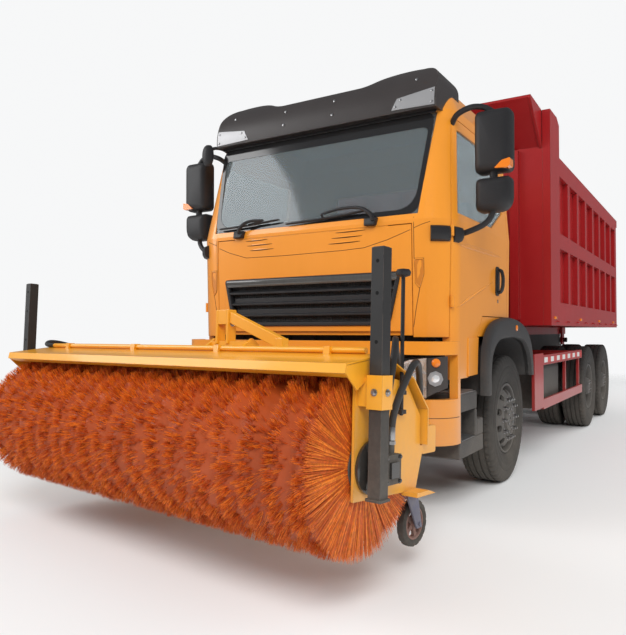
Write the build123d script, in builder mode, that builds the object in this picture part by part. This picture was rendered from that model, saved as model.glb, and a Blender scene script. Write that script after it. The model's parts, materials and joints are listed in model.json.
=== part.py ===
import os
from math import asin, cos, hypot, radians, sin, tan

from build123d import *

os.makedirs("parts", exist_ok=True)

# Millimetres. The truck faces -Y, +X is its left side and Z = 0 is the road.
front_axle_y = -1567.0
wheelbase = 3825.0
tandem_spacing = 1350.0
frame_shift_x = 120.0
fit_gap = 0.3
running_gap = 6.0

# Wheels
tyre_radius = 542.0
tyre_width = 290.0
rim_seat_radius = 300.0
rim_width = 236.0
rim_wall = 24.0
hub_radius = 118.0
front_track = 2040.0
dual_outer_x = 1085.0
dual_spacing = 340.0
front_spindle_radius = 46.0
rear_spindle_radius = 62.0
kingpin_x = 800.0
kingpin_radius = 26.0

# Ladder frame
rail_outer_x = 430.0
rail_flange = 90.0
rail_wall = 10.0
rail_bottom_z = 760.0
rail_top_z = 1060.0
rail_front_overhang = 1250.0
rail_tail = 865.0
subframe_top_z = 1240.0
subframe_front = 1330.0

# Tipping body
bed_front_offset = 1270.0
bed_length = 5130.0
bed_half_width = 1260.0
bed_rib_depth = 55.0
bed_wall = 25.0
bed_bottom_z = 1350.0
bed_floor_z = 1440.0
bed_floor_thickness = 30.0
bed_side_top_z = 3180.0
bed_post_length = 450.0
canopy_reach = 470.0
canopy_sheet = 24.0
bed_front_top_z = 3250.0
bed_post_top_z = bed_front_top_z + 340.0
canopy_lip_z = bed_post_top_z + 20.0
canopy_half_width = 1150.0
hinge_setback = 400.0
hinge_z = 1140.0
hinge_pin_radius = 40.0
hinge_relief = 60.0

# Front hoist
hoist_eye_setback = 440.0
hoist_eye_z = 2300.0
hoist_closed = 1405.0
hoist_barrel_radius = 100.0
hoist_stage_step = 14.0
hoist_stages = 4
hoist_pin_radius = 34.0
hoist_base_length = 120.0
hook_clearance = 16.0

# Cab
cab_front = 1435.0
cab_rear = 150.0
cab_floor_z = 1250.0
cab_floor_thickness = 40.0
cab_skirt_z = 950.0
cab_belt_z = 2080.0
cab_head_z = 2920.0
cab_roof_z = 3120.0
cab_wall = 45.0
glass_inset = 10.0
glass_thickness = 8.0
door_front = 1290.0
door_rear = -20.0
door_top_z = 2840.0
door_gap = 6.0
door_hinge_x = 1126.0
door_hinge_radius = 16.0
door_hinge_half = 40.0
door_hinges_z = (1500.0, 2000.0)

# Front end
bumper_front = 1550.0
bumper_half_width = 1190.0
bumper_side_rear = 1312.0
bumper_bottom_z = 520.0
bumper_top_z = 1222.0
bumper_wall = 60.0
bumper_corner_radius = 210.0
lamp_low_z = 830.0
lamp_high_z = 1130.0
lamp_inner_x = 800.0

# Broom
lift_pivot_y = front_axle_y - 1660.0
lift_pivot_z = 460.0
lift_pin_radius = 24.0
broom_lean = 2.5
broom_yaw = 7.5
yaw_reach = 237.0
yaw_pin_radius = 45.0
brush_ahead = 919.0
brush_rise = 158.0
brush_length = 2900.0
brush_radius = 440.0
brush_wafers = 12
brush_groove = 46.0
brush_core_radius = 95.0
brush_shaft_radius = 32.0
end_plate_gap = 20.0
end_plate_wall = 14.0
hood_half_length = 1520.0
hood_sheet = 8.0
beam_size = 140.0
leg_size = 64.0
leg_length = 1110.0
leg_x = 1575.0
leg_back = -75.0
sleeve_wall = 9.0
caster_x = 1336.0
caster_back = 550.0
caster_radius = 125.0
caster_width = 62.0
caster_bottom = -354.0
caster_trail = 70.0
fork_pin_radius = 20.0

rear_axles_y = (front_axle_y + wheelbase, front_axle_y + wheelbase + tandem_spacing)
rail_front_y = front_axle_y - rail_front_overhang
rail_rear_y = rear_axles_y[1] + rail_tail
bed_front_y = front_axle_y + bed_front_offset
bed_rear_y = bed_front_y + bed_length
hinge_y = bed_rear_y - hinge_setback
cab_front_y = front_axle_y - cab_front
cab_rear_y = front_axle_y + cab_rear
sides = (("left", 1), ("right", -1))


def across(y):
    # Upright plane facing forwards: local x is X, local y is Z
    return Plane(origin=(0, y, 0), x_dir=(1, 0, 0), z_dir=(0, -1, 0))


def lengthwise(x):
    # Upright plane facing +X: local x is Y, local y is Z
    return Plane(origin=(x, 0, 0), x_dir=(0, 1, 0), z_dir=(1, 0, 0))


def span(x0, x1, y0, y1, z0, z1, mode=Mode.ADD):
    # Block between two corners
    with Locations(((x0 + x1) / 2, (y0 + y1) / 2, (z0 + z1) / 2)):
        Box(abs(x1 - x0), abs(y1 - y0), abs(z1 - z0), mode=mode)


def bar(start, end, radius, mode=Mode.ADD):
    # Round bar from one point to another
    along = Vector(end) - Vector(start)
    with Locations(Plane(origin=start, z_dir=along).location):
        Cylinder(radius, along.length, align=(Align.CENTER, Align.CENTER, Align.MIN), mode=mode)


def outline(points):
    # Closed flat face through the points
    Polygon(*points, align=None)


def save(part, name):
    # The yawed broom reaches further right, so the shared frame's middle is right of the truck's own
    placed = part.moved(Location((frame_shift_x, 0, 0)))
    placed.label = name
    export_step(placed, f"parts/{name}.step")


# Ladder frame, tipping subframe, hinge pin and tail beam
crossmember_ys = (rail_front_y + 90, front_axle_y + 1080, front_axle_y + 2300, rear_axles_y[0] - 600,
                  (rear_axles_y[0] + rear_axles_y[1]) / 2, rail_rear_y - 120)
crossmember_width = 110.0
crossmember_inset = 60.0
cab_post_ys = (front_axle_y - 1060, front_axle_y + 60)
cab_post_size = 90.0
hoist_radius = hypot(hinge_y - (bed_front_y - hoist_eye_setback), hoist_eye_z - hinge_z)
hoist_eye_y = bed_front_y - hoist_eye_setback
eye_lift = asin((hoist_eye_z - hinge_z) / hoist_radius)
hoist_span = 2 * asin(hoist_closed / 2 / hoist_radius)
hoist_foot_y = hinge_y - hoist_radius * cos(eye_lift - hoist_span)
hoist_foot_z = hinge_z + hoist_radius * sin(eye_lift - hoist_span)
hoist_foot_half = hoist_barrel_radius + 10
tail_beam_z = 860.0

with BuildPart() as chassis_frame:
    with BuildSketch(across(rail_rear_y)):
        for side in (-1, 1):
            web = side * rail_outer_x
            tip = side * (rail_outer_x - rail_flange)
            wall = side * (rail_outer_x - rail_wall)
            outline([(web, rail_bottom_z), (tip, rail_bottom_z), (tip, rail_bottom_z + rail_wall),
                     (wall, rail_bottom_z + rail_wall), (wall, rail_top_z - rail_wall),
                     (tip, rail_top_z - rail_wall), (tip, rail_top_z), (web, rail_top_z)])
    extrude(amount=rail_rear_y - rail_front_y)
    for y in crossmember_ys:
        half = crossmember_width / 2
        inner = rail_outer_x - rail_wall
        low = rail_bottom_z + crossmember_inset
        span(-inner, inner, y - half, y + half, low, rail_top_z - crossmember_inset)
    for side in (-1, 1):
        inner = side * (rail_outer_x - rail_flange)
        subframe_front_y = front_axle_y + subframe_front
        span(inner, side * rail_outer_x, subframe_front_y, hinge_y - hinge_relief, rail_top_z, subframe_top_z - fit_gap)
        for y in cab_post_ys:
            half = cab_post_size / 2
            span(inner, side * rail_outer_x, y - half, y + half, rail_top_z, cab_floor_z)
        foot = side * hoist_foot_half
        span(foot, inner - side * fit_gap, hoist_foot_y - 90, hoist_foot_y + 90, hoist_foot_z - 90, hoist_foot_z + 90)
        span(inner - side * fit_gap, side * (rail_outer_x - rail_wall), hoist_foot_y - 90, hoist_foot_y + 90,
             rail_top_z - 260, rail_top_z - rail_wall)
    pin_reach = rail_outer_x + 100
    bar((-pin_reach, hinge_y, hinge_z), (pin_reach, hinge_y, hinge_z), hinge_pin_radius)
    bar((-hoist_foot_half, hoist_foot_y, hoist_foot_z), (hoist_foot_half, hoist_foot_y, hoist_foot_z), hoist_pin_radius)
    span(-1100, 1100, rail_rear_y - 60, rail_rear_y, tail_beam_z - 60, tail_beam_z + 60)
save(chassis_frame.part, "chassis_frame")

# Engine as one plain block on four feet that stand on the rails' lower flanges
engine_half_width = 320.0
engine_front_y = front_axle_y - 900
engine_rear_y = front_axle_y + 580
engine_foot_z = rail_bottom_z + rail_wall
with BuildPart() as engine_block:
    span(-engine_half_width, engine_half_width, engine_front_y, engine_rear_y, 640, cab_floor_z - 45)
    fillet(engine_block.edges().filter_by(Axis.Z), 40)
    for y in (engine_front_y + 200, engine_rear_y - 200):
        for side in (-1, 1):
            span(side * engine_half_width, side * (rail_outer_x - rail_wall - fit_gap), y - 60, y + 60,
                 engine_foot_z, engine_foot_z + 70)
save(engine_block.part, "engine_block")

# Axle beams, differential housings, spindles and leaf springs
spring_half_width = 45.0
spring_x = rail_outer_x - 45.0
front_spring_half = 720.0
beam_low_z = tyre_radius - 110
beam_high_z = tyre_radius - 10
housing_radius = 78.0
drum_radius = 205.0
with BuildPart() as axles:
    with BuildSketch(lengthwise(-kingpin_x)):
        with Locations((front_axle_y, (beam_low_z + beam_high_z) / 2)):
            Rectangle(96, beam_high_z - beam_low_z)
    extrude(amount=2 * kingpin_x)
    for side in (-1, 1):
        with BuildSketch(Plane.XY.offset(beam_low_z)):
            with Locations((side * kingpin_x, front_axle_y)):
                Circle(62)
        extrude(amount=beam_high_z - beam_low_z)
        with BuildSketch(lengthwise(side * spring_x - spring_half_width)):
            low = beam_high_z
            eye = rail_bottom_z - 60
            with BuildLine():
                y0 = front_axle_y - front_spring_half
                y1 = front_axle_y + front_spring_half
                ThreePointArc((y0, eye), (front_axle_y, low), (y1, eye))
                Line((y1, eye), (y1, eye + 60))
                ThreePointArc((y1, eye + 60), (front_axle_y, low + 90), (y0, eye + 60))
                Line((y0, eye + 60), (y0, eye))
            make_face()
        extrude(amount=2 * spring_half_width)
        with BuildSketch(lengthwise(side * spring_x - spring_half_width)):
            middle = (rear_axles_y[0] + rear_axles_y[1]) / 2
            seat = tyre_radius + housing_radius
            with BuildLine():
                ThreePointArc((rear_axles_y[0], seat), (middle, seat + 50), (rear_axles_y[1], seat))
                Line((rear_axles_y[1], seat), (rear_axles_y[1], seat + 40))
                ThreePointArc((rear_axles_y[1], seat + 40), (middle, rail_bottom_z), (rear_axles_y[0], seat + 40))
                Line((rear_axles_y[0], seat + 40), (rear_axles_y[0], seat))
            make_face()
        extrude(amount=2 * spring_half_width)
        for y in rear_axles_y:
            span(side * spring_x - spring_half_width, side * spring_x + spring_half_width, y - 70, y + 70,
                 tyre_radius, seat + 30)
    with Locations(*[(side * kingpin_x, front_axle_y, (beam_low_z + beam_high_z) / 2) for side in (-1, 1)]):
        Cylinder(kingpin_radius + fit_gap, 2 * beam_high_z, mode=Mode.SUBTRACT)
    spindle_end = dual_outer_x + 60
    for y in rear_axles_y:
        bar((-spindle_end, y, tyre_radius), (spindle_end, y, tyre_radius), rear_spindle_radius)
        bar((-560, y, tyre_radius), (560, y, tyre_radius), housing_radius)
        bar((-150, y, tyre_radius), (150, y, tyre_radius), drum_radius)
    bar((0, engine_rear_y + 10, 780), (0, rear_axles_y[0] - drum_radius + 30, tyre_radius + 20), 48)
    bar((0, rear_axles_y[0], tyre_radius + 20), (0, rear_axles_y[1], tyre_radius + 20), 48)
save(axles.part, "axles")

# Steering knuckles: two ears round the beam end, kingpin and spindle
knuckle_face_x = 905.0
ear_half = 58.0
ear_thickness = 44.0
wheel_centre_x = front_track / 2
for name, side in sides:
    with BuildPart() as knuckle:
        top = beam_high_z + fit_gap
        bottom = beam_low_z - fit_gap
        x_in = side * (kingpin_x - ear_half)
        x_out = side * knuckle_face_x
        span(x_in, x_out, front_axle_y - ear_half, front_axle_y + ear_half, top, top + ear_thickness)
        span(x_in, x_out, front_axle_y - ear_half, front_axle_y + ear_half, bottom - ear_thickness, bottom)
        span(side * (kingpin_x + 70), x_out, front_axle_y - ear_half, front_axle_y + ear_half, bottom, top)
        bar((side * kingpin_x, front_axle_y, bottom - ear_thickness),
            (side * kingpin_x, front_axle_y, top + ear_thickness), kingpin_radius)
        bar((x_out, front_axle_y, tyre_radius), (side * (wheel_centre_x + 60), front_axle_y, tyre_radius),
            front_spindle_radius)
    save(knuckle.part, f"knuckle_{name}")

# Tyres and rims. Each wheel is turned about its own spindle; a rear hub carries two tyres.
wheel_table = (
    # name, side, axle y, tyre centres from the truck's middle, spindle radius, dish depth
    ("front_left", 1, front_axle_y, (wheel_centre_x,), front_spindle_radius, -30.0),
    ("front_right", -1, front_axle_y, (wheel_centre_x,), front_spindle_radius, -30.0),
    ("rear_1_left", 1, rear_axles_y[0], (dual_outer_x - dual_spacing, dual_outer_x), rear_spindle_radius, 130.0),
    ("rear_1_right", -1, rear_axles_y[0], (dual_outer_x - dual_spacing, dual_outer_x), rear_spindle_radius, 130.0),
    ("rear_2_left", 1, rear_axles_y[1], (dual_outer_x - dual_spacing, dual_outer_x), rear_spindle_radius, 130.0),
    ("rear_2_right", -1, rear_axles_y[1], (dual_outer_x - dual_spacing, dual_outer_x), rear_spindle_radius, 130.0),
)
# How far in from the tyre's full width, at which radius
tyre_section = ((24.0, rim_seat_radius), (0.0, rim_seat_radius + 110), (4.0, tyre_radius - 70), (20.0, tyre_radius - 14),
                (34.0, tyre_radius))
for name, side, y, centres, spindle, dish in wheel_table:
    # Local x runs outwards along the spindle and local y is the radius
    axle_plane = Plane(origin=(0, y, tyre_radius), x_dir=(side, 0, 0), z_dir=(0, -side, 0))
    with BuildPart() as tyre:
        with BuildSketch(axle_plane):
            for x in centres:
                half = [(tyre_width / 2 - inset, radius) for inset, radius in tyre_section]
                outline([(x - reach, radius) for reach, radius in half] +
                        [(x + reach, radius) for reach, radius in reversed(half)])
        revolve(axis=Axis((0, y, tyre_radius), (1, 0, 0)))
    save(tyre.part, f"tyre_{name}")
    with BuildPart() as rim:
        inner = centres[0] - rim_width / 2
        outer = centres[-1] + rim_width / 2
        face = outer - dish
        seat = rim_seat_radius - fit_gap
        bore = spindle + fit_gap
        with BuildSketch(axle_plane):
            outline([(inner, seat - rim_wall), (inner, seat), (outer, seat), (outer, seat - rim_wall),
                     (face, hub_radius), (outer + 20, hub_radius), (outer + 20, bore), (inner + 40, bore),
                     (inner + 40, seat - rim_wall)])
        revolve(axis=Axis((0, y, tyre_radius), (1, 0, 0)))
    save(rim.part, f"rim_{name}")

# Fuel tank on the left, air and battery box on the right, both on brackets off the rails.
# The air intake column stands behind the cab, on a shelf off the left rail.
tank_table = (
    # side, front and rear from the front axle, low z, high z, outer x, corner radius
    (1, 1120.0, 2120.0, 500.0, 980.0, 1150.0, 90.0),
    (-1, 1120.0, 1900.0, 540.0, 960.0, 1120.0, 30.0),
)
tank_inner_x = 560.0
column_x = (700.0, 980.0)
column_y = (front_axle_y + 260, front_axle_y + 520)
column_z = (1300.0, 2700.0)
column_foot_x = column_x[1] - 110
shelf_top_z = rail_top_z + 60
louvre_pitch = 90.0
louvre_count = 7
with BuildPart() as tanks:
    for side, front, rear, low, high, reach, radius in tank_table:
        with BuildSketch(across(front_axle_y + rear)):
            with Locations((side * (tank_inner_x + reach) / 2, (low + high) / 2)):
                RectangleRounded(reach - tank_inner_x, high - low, radius)
        extrude(amount=rear - front)
        for y in (front_axle_y + front + 150, front_axle_y + rear - 150):
            span(side * rail_outer_x, side * (tank_inner_x + 40), y - 40, y + 40, rail_bottom_z + 20, high - 60)
    with BuildSketch(Plane.XY.offset(column_z[0])):
        with Locations((sum(column_x) / 2, sum(column_y) / 2)):
            RectangleRounded(column_x[1] - column_x[0], column_y[1] - column_y[0], 40)
    extrude(amount=column_z[1] - column_z[0])
    with Locations(*[(column_x[1], sum(column_y) / 2, column_z[1] - 120 - louvre_pitch * step) for step in range(louvre_count)]):
        Box(50, 170, 34, mode=Mode.SUBTRACT)
    span(rail_outer_x - rail_flange, column_foot_x, column_y[0] + 40, column_y[1] - 40, rail_top_z, shelf_top_z)
    span(column_x[0] + 30, column_foot_x, column_y[0] + 60, column_y[1] - 60, shelf_top_z, column_z[0])
save(tanks.part, "tanks")

# Side guards: a front plate, two long bars and stays back to the rails
guard_x = 1195.0
guard_wall = 28.0
guard_bars = ((510.0, 610.0), (950.0, 1050.0))
guard_front = 670.0
guard_plate_rear = 1060.0
guard_rear = 3230.0
stay_ys = (1020.0, 2320.0, 3180.0)
with BuildPart() as side_guards:
    for side in (-1, 1):
        x0 = side * guard_x
        x1 = side * (guard_x + guard_wall)
        span(x0, x1, front_axle_y + guard_front + 20, front_axle_y + guard_plate_rear, 530, 1070)
        for low, high in guard_bars:
            span(x0, x1, front_axle_y + guard_plate_rear, front_axle_y + guard_rear, low, high)
        for stay in stay_ys:
            y = front_axle_y + stay
            span(x0, side * (guard_x - 30), y - 25, y + 25, guard_bars[0][0], guard_bars[1][1])
            span(side * rail_outer_x, side * (guard_x - 30), y - 25, y + 25, 990, 1040)
save(side_guards.part, "side_guards")

# Wheel arch flares with liners, and the entry steps ahead of them
arch_outer_x = 1220.0
arch_inner_x = 880.0
arch_line = ((-985.0, 760.0), (-640.0, 1330.0), (330.0, 1330.0), (640.0, 1020.0))
flare_depth = 190.0
flare_rise = 70.0
liner = 26.0
cab_side_x = 1156.0
step_outer_x = 1180.0
step_front = 1305.0
step_rear = 730.0
with BuildPart() as front_arches:
    for side in (-1, 1):
        base = min(side * cab_side_x, side * arch_outer_x)
        top = [(front_axle_y + y, z + flare_rise) for y, z in arch_line]
        low = [(front_axle_y + y, z - flare_depth + flare_rise) for y, z in arch_line]
        thin = [(front_axle_y + y, z - flare_depth + flare_rise + liner) for y, z in arch_line]
        with BuildSketch(lengthwise(base)):
            outline(low + top[::-1])
        extrude(amount=arch_outer_x - cab_side_x)
        base = min(side * arch_inner_x, side * cab_side_x)
        with BuildSketch(lengthwise(base)):
            outline(low + thin[::-1])
        extrude(amount=cab_side_x - arch_inner_x)
        span(side * 800, side * step_outer_x, front_axle_y - step_front, front_axle_y - step_rear - 190, 400, 850)
        span(side * 800, side * step_outer_x, front_axle_y - step_rear - 190, front_axle_y - step_rear, 400, 640)
        span(side * 930, side * (step_outer_x + 1), front_axle_y - step_front + 40, front_axle_y - step_rear - 230,
             520, 720, mode=Mode.SUBTRACT)
        span(side * rail_outer_x, side * 800, front_axle_y - 1180, front_axle_y - 1100, 770, 840)
        span(side * 880, side * 930, front_axle_y - 1010, front_axle_y - 950, 800, 860)
        pad_z = arch_line[1][1] + flare_rise - flare_depth + liner
        span(side * arch_inner_x, side * (arch_inner_x + 120), front_axle_y - 30, front_axle_y + 30, pad_z, cab_floor_z)
save(front_arches.part, "front_arches")

# Cab form: plan sections lofted from skirt to roof
cab_levels = (
    # z, front from the axle, half width, front corner radius, rear from the axle
    (cab_skirt_z, 1405.0, 1135.0, 240.0, cab_rear),
    (cab_belt_z, cab_front, 1152.0, 260.0, cab_rear),
    (cab_head_z, 1225.0, 1085.0, 230.0, cab_rear),
    (cab_roof_z, 1110.0, 985.0, 200.0, cab_rear - 40.0),
)
rear_corner_radius = 70.0


def cab_form(inset, drop, sink):
    # Solid cab form, set in from the outside by inset, with the roof lowered by drop and the skirt by sink
    with BuildPart() as form:
        for z, front, half, radius, rear in cab_levels:
            level = z
            if z == cab_roof_z:
                level = z - drop
            if z == cab_skirt_z:
                level = z - sink
            y0 = front_axle_y - front + inset
            y1 = front_axle_y + rear - inset
            with BuildSketch(Plane.XY.offset(level)) as section:
                with Locations((0, (y0 + y1) / 2)):
                    Rectangle(2 * (half - inset), y1 - y0)
                fillet(section.vertices().group_by(Axis.Y)[0], radius - inset)
                fillet(section.vertices().group_by(Axis.Y)[-1], rear_corner_radius - inset)
        loft(ruled=True)
    return form.part


cab_outer = cab_form(0, 0, 0)
cab_inner = cab_form(cab_wall, cab_wall, 10)
glass_outer = cab_form(glass_inset, glass_inset, 0)
glass_inner = cab_form(glass_inset + glass_thickness, glass_inset + glass_thickness, 10)
screen_points = [(-925, 2120), (925, 2120), (985, 2890), (-985, 2890)]
screen_depth = 420.0
rear_window_half = 620.0
rear_window_z = (2150.0, 2650.0)
flap_half_width = 880.0
flap_low_z = 1262.0
flap_high_z = 2046.0
grille_half_width = 805.0
grille_low_z = 1290.0
grille_high_z = 1720.0
door_sill_z = 1410.0
door_points = [(-door_front, cab_skirt_z - 20), (-1005, cab_skirt_z - 20), (-660, door_sill_z), (-door_rear, door_sill_z),
               (-door_rear, door_top_z), (-1120, door_top_z), (-door_front, cab_belt_z)]
window_points = [(-1215, 2130), (-1215, 2150), (-1085, 2765), (-75, 2765), (-75, 2300), (-420, 2130)]
side_cut_depth = 420.0
cab_outline_x = 1300.0
firewall_y = front_axle_y - 1290.0


def door_face(points):
    return [(front_axle_y + y, z) for y, z in points]


def door_hinge_spans(side, extra):
    # Ends of each hinge barrel, lengthened by extra at both ends
    x = side * door_hinge_x
    y = front_axle_y - door_front
    reach = door_hinge_half + extra
    return [((x, y, z - reach), (x, y, z + reach)) for z in door_hinges_z]


with BuildPart() as cab_shell:
    add(cab_outer)
    add(cab_inner, mode=Mode.SUBTRACT)
    inner_half = cab_levels[1][2] - cab_wall - 10
    y_front = front_axle_y - 1000
    y_rear = cab_rear_y - cab_wall
    span(-inner_half, inner_half, y_front, y_rear, cab_floor_z, cab_floor_z + cab_floor_thickness)
    span(-870, 870, firewall_y, y_front, cab_floor_z, cab_floor_z + cab_floor_thickness)
    span(-inner_half, inner_half, firewall_y, firewall_y + 30, cab_floor_z, cab_belt_z + 20)
    span(-cab_outline_x, cab_outline_x, cab_front_y - 50, front_axle_y - 1255, 900, cab_floor_z, mode=Mode.SUBTRACT)
    span(-cab_outline_x, cab_outline_x, front_axle_y - 1010, cab_rear_y + 50, 900, cab_floor_z, mode=Mode.SUBTRACT)
    with BuildSketch(across(cab_front_y - 20)):
        outline(screen_points)
        with Locations((0, (flap_low_z + flap_high_z) / 2 - 10)):
            Rectangle(2 * (flap_half_width + door_gap), flap_high_z - flap_low_z + 2 * door_gap + 20)
    extrude(amount=-120, mode=Mode.SUBTRACT)
    with BuildSketch(across(cab_front_y - 20)):
        outline(screen_points)
    extrude(amount=-screen_depth, mode=Mode.SUBTRACT)
    with BuildSketch(across(cab_rear_y + 20)):
        with Locations((0, sum(rear_window_z) / 2)):
            Rectangle(2 * rear_window_half, rear_window_z[1] - rear_window_z[0])
    extrude(amount=100, mode=Mode.SUBTRACT)
    for side in (-1, 1):
        with BuildSketch(lengthwise(side * cab_outline_x)):
            outline(door_face(door_points))
            offset(amount=door_gap, kind=Kind.INTERSECTION, mode=Mode.REPLACE)
        extrude(amount=-side * side_cut_depth, mode=Mode.SUBTRACT)
        for low, high in door_hinge_spans(side, fit_gap):
            bar(low, high, door_hinge_radius + fit_gap, mode=Mode.SUBTRACT)
save(cab_shell.part, "cab_shell")

with BuildPart() as window_tool:
    with BuildSketch(across(cab_front_y - 20)):
        outline(screen_points)
    extrude(amount=-screen_depth)
    with BuildSketch(across(cab_rear_y + 20)):
        with Locations((0, sum(rear_window_z) / 2)):
            Rectangle(2 * rear_window_half, rear_window_z[1] - rear_window_z[0])
    extrude(amount=100)

with BuildPart() as cab_glass:
    add(glass_outer)
    add(glass_inner, mode=Mode.SUBTRACT)
    add(window_tool.part, mode=Mode.INTERSECT)
save(cab_glass.part, "cab_glass")

# Doors with their panes and mirrors
mirror_table = (
    # low z, high z, inner x, outer x
    (2400.0, 2850.0, 1245.0, 1505.0),
    (2130.0, 2370.0, 1255.0, 1495.0),
)
mirror_front = 1190.0
mirror_depth = 120.0
mirror_arm_radius = 17.0
mirror_stem_x = 1375.0
mirror_arms_z = (2790.0, 2090.0)
for name, side in sides:
    with BuildPart() as door_tool:
        with BuildSketch(lengthwise(side * cab_outline_x)):
            outline(door_face(door_points))
        extrude(amount=-side * side_cut_depth)
    with BuildPart() as window_hole:
        with BuildSketch(lengthwise(side * cab_outline_x)):
            outline(door_face(window_points))
        extrude(amount=-side * side_cut_depth)
    with BuildPart() as door:
        add(cab_outer)
        add(cab_inner, mode=Mode.SUBTRACT)
        add(door_tool.part, mode=Mode.INTERSECT)
        add(window_hole.part, mode=Mode.SUBTRACT)
        for low, high in door_hinge_spans(side, 0):
            bar(low, high, door_hinge_radius)
    save(door.part, f"door_{name}")
    with BuildPart() as pane:
        add(glass_outer)
        add(glass_inner, mode=Mode.SUBTRACT)
        add(window_hole.part, mode=Mode.INTERSECT)
    save(pane.part, f"door_glass_{name}")
    with BuildPart() as mirror:
        y0 = front_axle_y - mirror_front
        y1 = y0 + mirror_depth
        for low, high, inner, outer in mirror_table:
            span(side * inner, side * outer, y0, y1, low, high)
        fillet(mirror.edges().filter_by(Axis.Z), 34)
        middle = (y0 + y1) / 2
        span(side * 1345, side * 1405, middle - 30, middle + 30, mirror_table[1][1] - 20, mirror_table[0][0] + 20)
        for z in mirror_arms_z:
            inner = 1060 if z > cab_belt_z else 1120
            bar((side * inner, middle - 60, z), (side * mirror_stem_x, middle, z), mirror_arm_radius)
        bar((side * mirror_stem_x, middle, mirror_arms_z[1]), (side * mirror_stem_x, middle, mirror_table[1][0] + 20),
            mirror_arm_radius)
        add(cab_outer, mode=Mode.SUBTRACT)
    save(mirror.part, f"mirror_{name}")

# Front service flap with the grille set into it
flap_bead_radius = door_gap / 2
flap_hinge_y = cab_front_y + 4
flap_hinge_z = flap_high_z + door_gap - flap_bead_radius - fit_gap
flap_hinge_half = 700.0
with BuildPart() as front_flap:
    add(cab_outer)
    add(cab_inner, mode=Mode.SUBTRACT)
    with BuildSketch(across(cab_front_y - 20)):
        with Locations((0, (flap_low_z + flap_high_z) / 2)):
            Rectangle(2 * flap_half_width, flap_high_z - flap_low_z)
    extrude(amount=-120, mode=Mode.INTERSECT)
    with BuildSketch(across(cab_front_y - 20)):
        with Locations((0, (grille_low_z + grille_high_z) / 2)):
            RectangleRounded(2 * grille_half_width, grille_high_z - grille_low_z, 60)
    extrude(amount=-120, mode=Mode.SUBTRACT)
    bar((-flap_hinge_half, flap_hinge_y, flap_hinge_z), (flap_hinge_half, flap_hinge_y, flap_hinge_z), flap_bead_radius)
save(front_flap.part, "front_flap")

grille_frame = 34.0
grille_bars = 5
grille_proud = 12.0
with BuildPart() as grille:
    with BuildSketch(across(cab_front_y + cab_wall)):
        with Locations((0, (grille_low_z + grille_high_z) / 2)):
            RectangleRounded(2 * grille_half_width, grille_high_z - grille_low_z, 60)
            RectangleRounded(2 * (grille_half_width - grille_frame), grille_high_z - grille_low_z - 2 * grille_frame, 40,
                             mode=Mode.SUBTRACT)
        pitch = (grille_high_z - grille_low_z) / grille_bars
        with Locations(*[(0, grille_low_z + pitch * (step + 0.5)) for step in range(grille_bars)]):
            Rectangle(2 * grille_half_width - grille_frame, grille_frame)
    extrude(amount=cab_wall + grille_proud)
    with BuildSketch(across(cab_front_y + cab_wall)):
        with Locations(*[(x, (grille_low_z + grille_high_z) / 2) for x in (-400, 0, 400)]):
            Rectangle(20, grille_high_z - grille_low_z - grille_frame)
    extrude(amount=cab_wall - 20)
save(grille.part, "grille")

# Roof visor, seated on the cab's brow: a curved section cut to a front outline with a hump at each end
visor_half_width = 1015.0
visor_low_z = 2900.0
visor_end_z = 3110.0
visor_middle_z = 3180.0
visor_hump_z = 3262.0
visor_front = 1300.0
visor_rear = 820.0
visor_section = ((visor_front, visor_low_z), (1268.0, 3095.0), (1140.0, 3250.0), (975.0, 3290.0), (visor_rear, 3165.0))
visor_rear_low_z = 3060.0
visor_foot = 1150.0
# x and z of half of the front outline, from the end to the middle
visor_rise = ((visor_half_width, visor_end_z), (975.0, 3208.0), (860.0, 3250.0), (740.0, visor_hump_z), (620.0, 3252.0),
              (556.0, 3238.0), (490.0, 3214.0), (428.0, 3190.0), (360.0, visor_middle_z))
with BuildPart() as roof_visor:
    with BuildSketch(lengthwise(-visor_half_width)):
        points = [(front_axle_y - ahead, z) for ahead, z in visor_section]
        with BuildLine():
            ThreePointArc(*points[0:3])
            ThreePointArc(*points[2:5])
            Polyline(points[4], (front_axle_y - visor_rear, visor_rear_low_z),
                     (front_axle_y - visor_foot, visor_low_z), points[0])
        make_face()
    extrude(amount=2 * visor_half_width)
    with BuildSketch(across(front_axle_y - visor_rear + 10)):
        with BuildLine():
            for side in (-1, 1):
                points = [(side * x, z) for x, z in visor_rise]
                for start in range(0, len(points) - 1, 2):
                    ThreePointArc(*points[start:start + 3])
                Line((side * visor_half_width, visor_low_z - 10), points[0])
            Line((-visor_rise[-1][0], visor_middle_z), (visor_rise[-1][0], visor_middle_z))
            Line((-visor_half_width, visor_low_z - 10), (visor_half_width, visor_low_z - 10))
        make_face()
    extrude(amount=visor_front - visor_rear + 40, mode=Mode.INTERSECT)
    add(cab_outer, mode=Mode.SUBTRACT)
save(roof_visor.part, "roof_visor")

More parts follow.
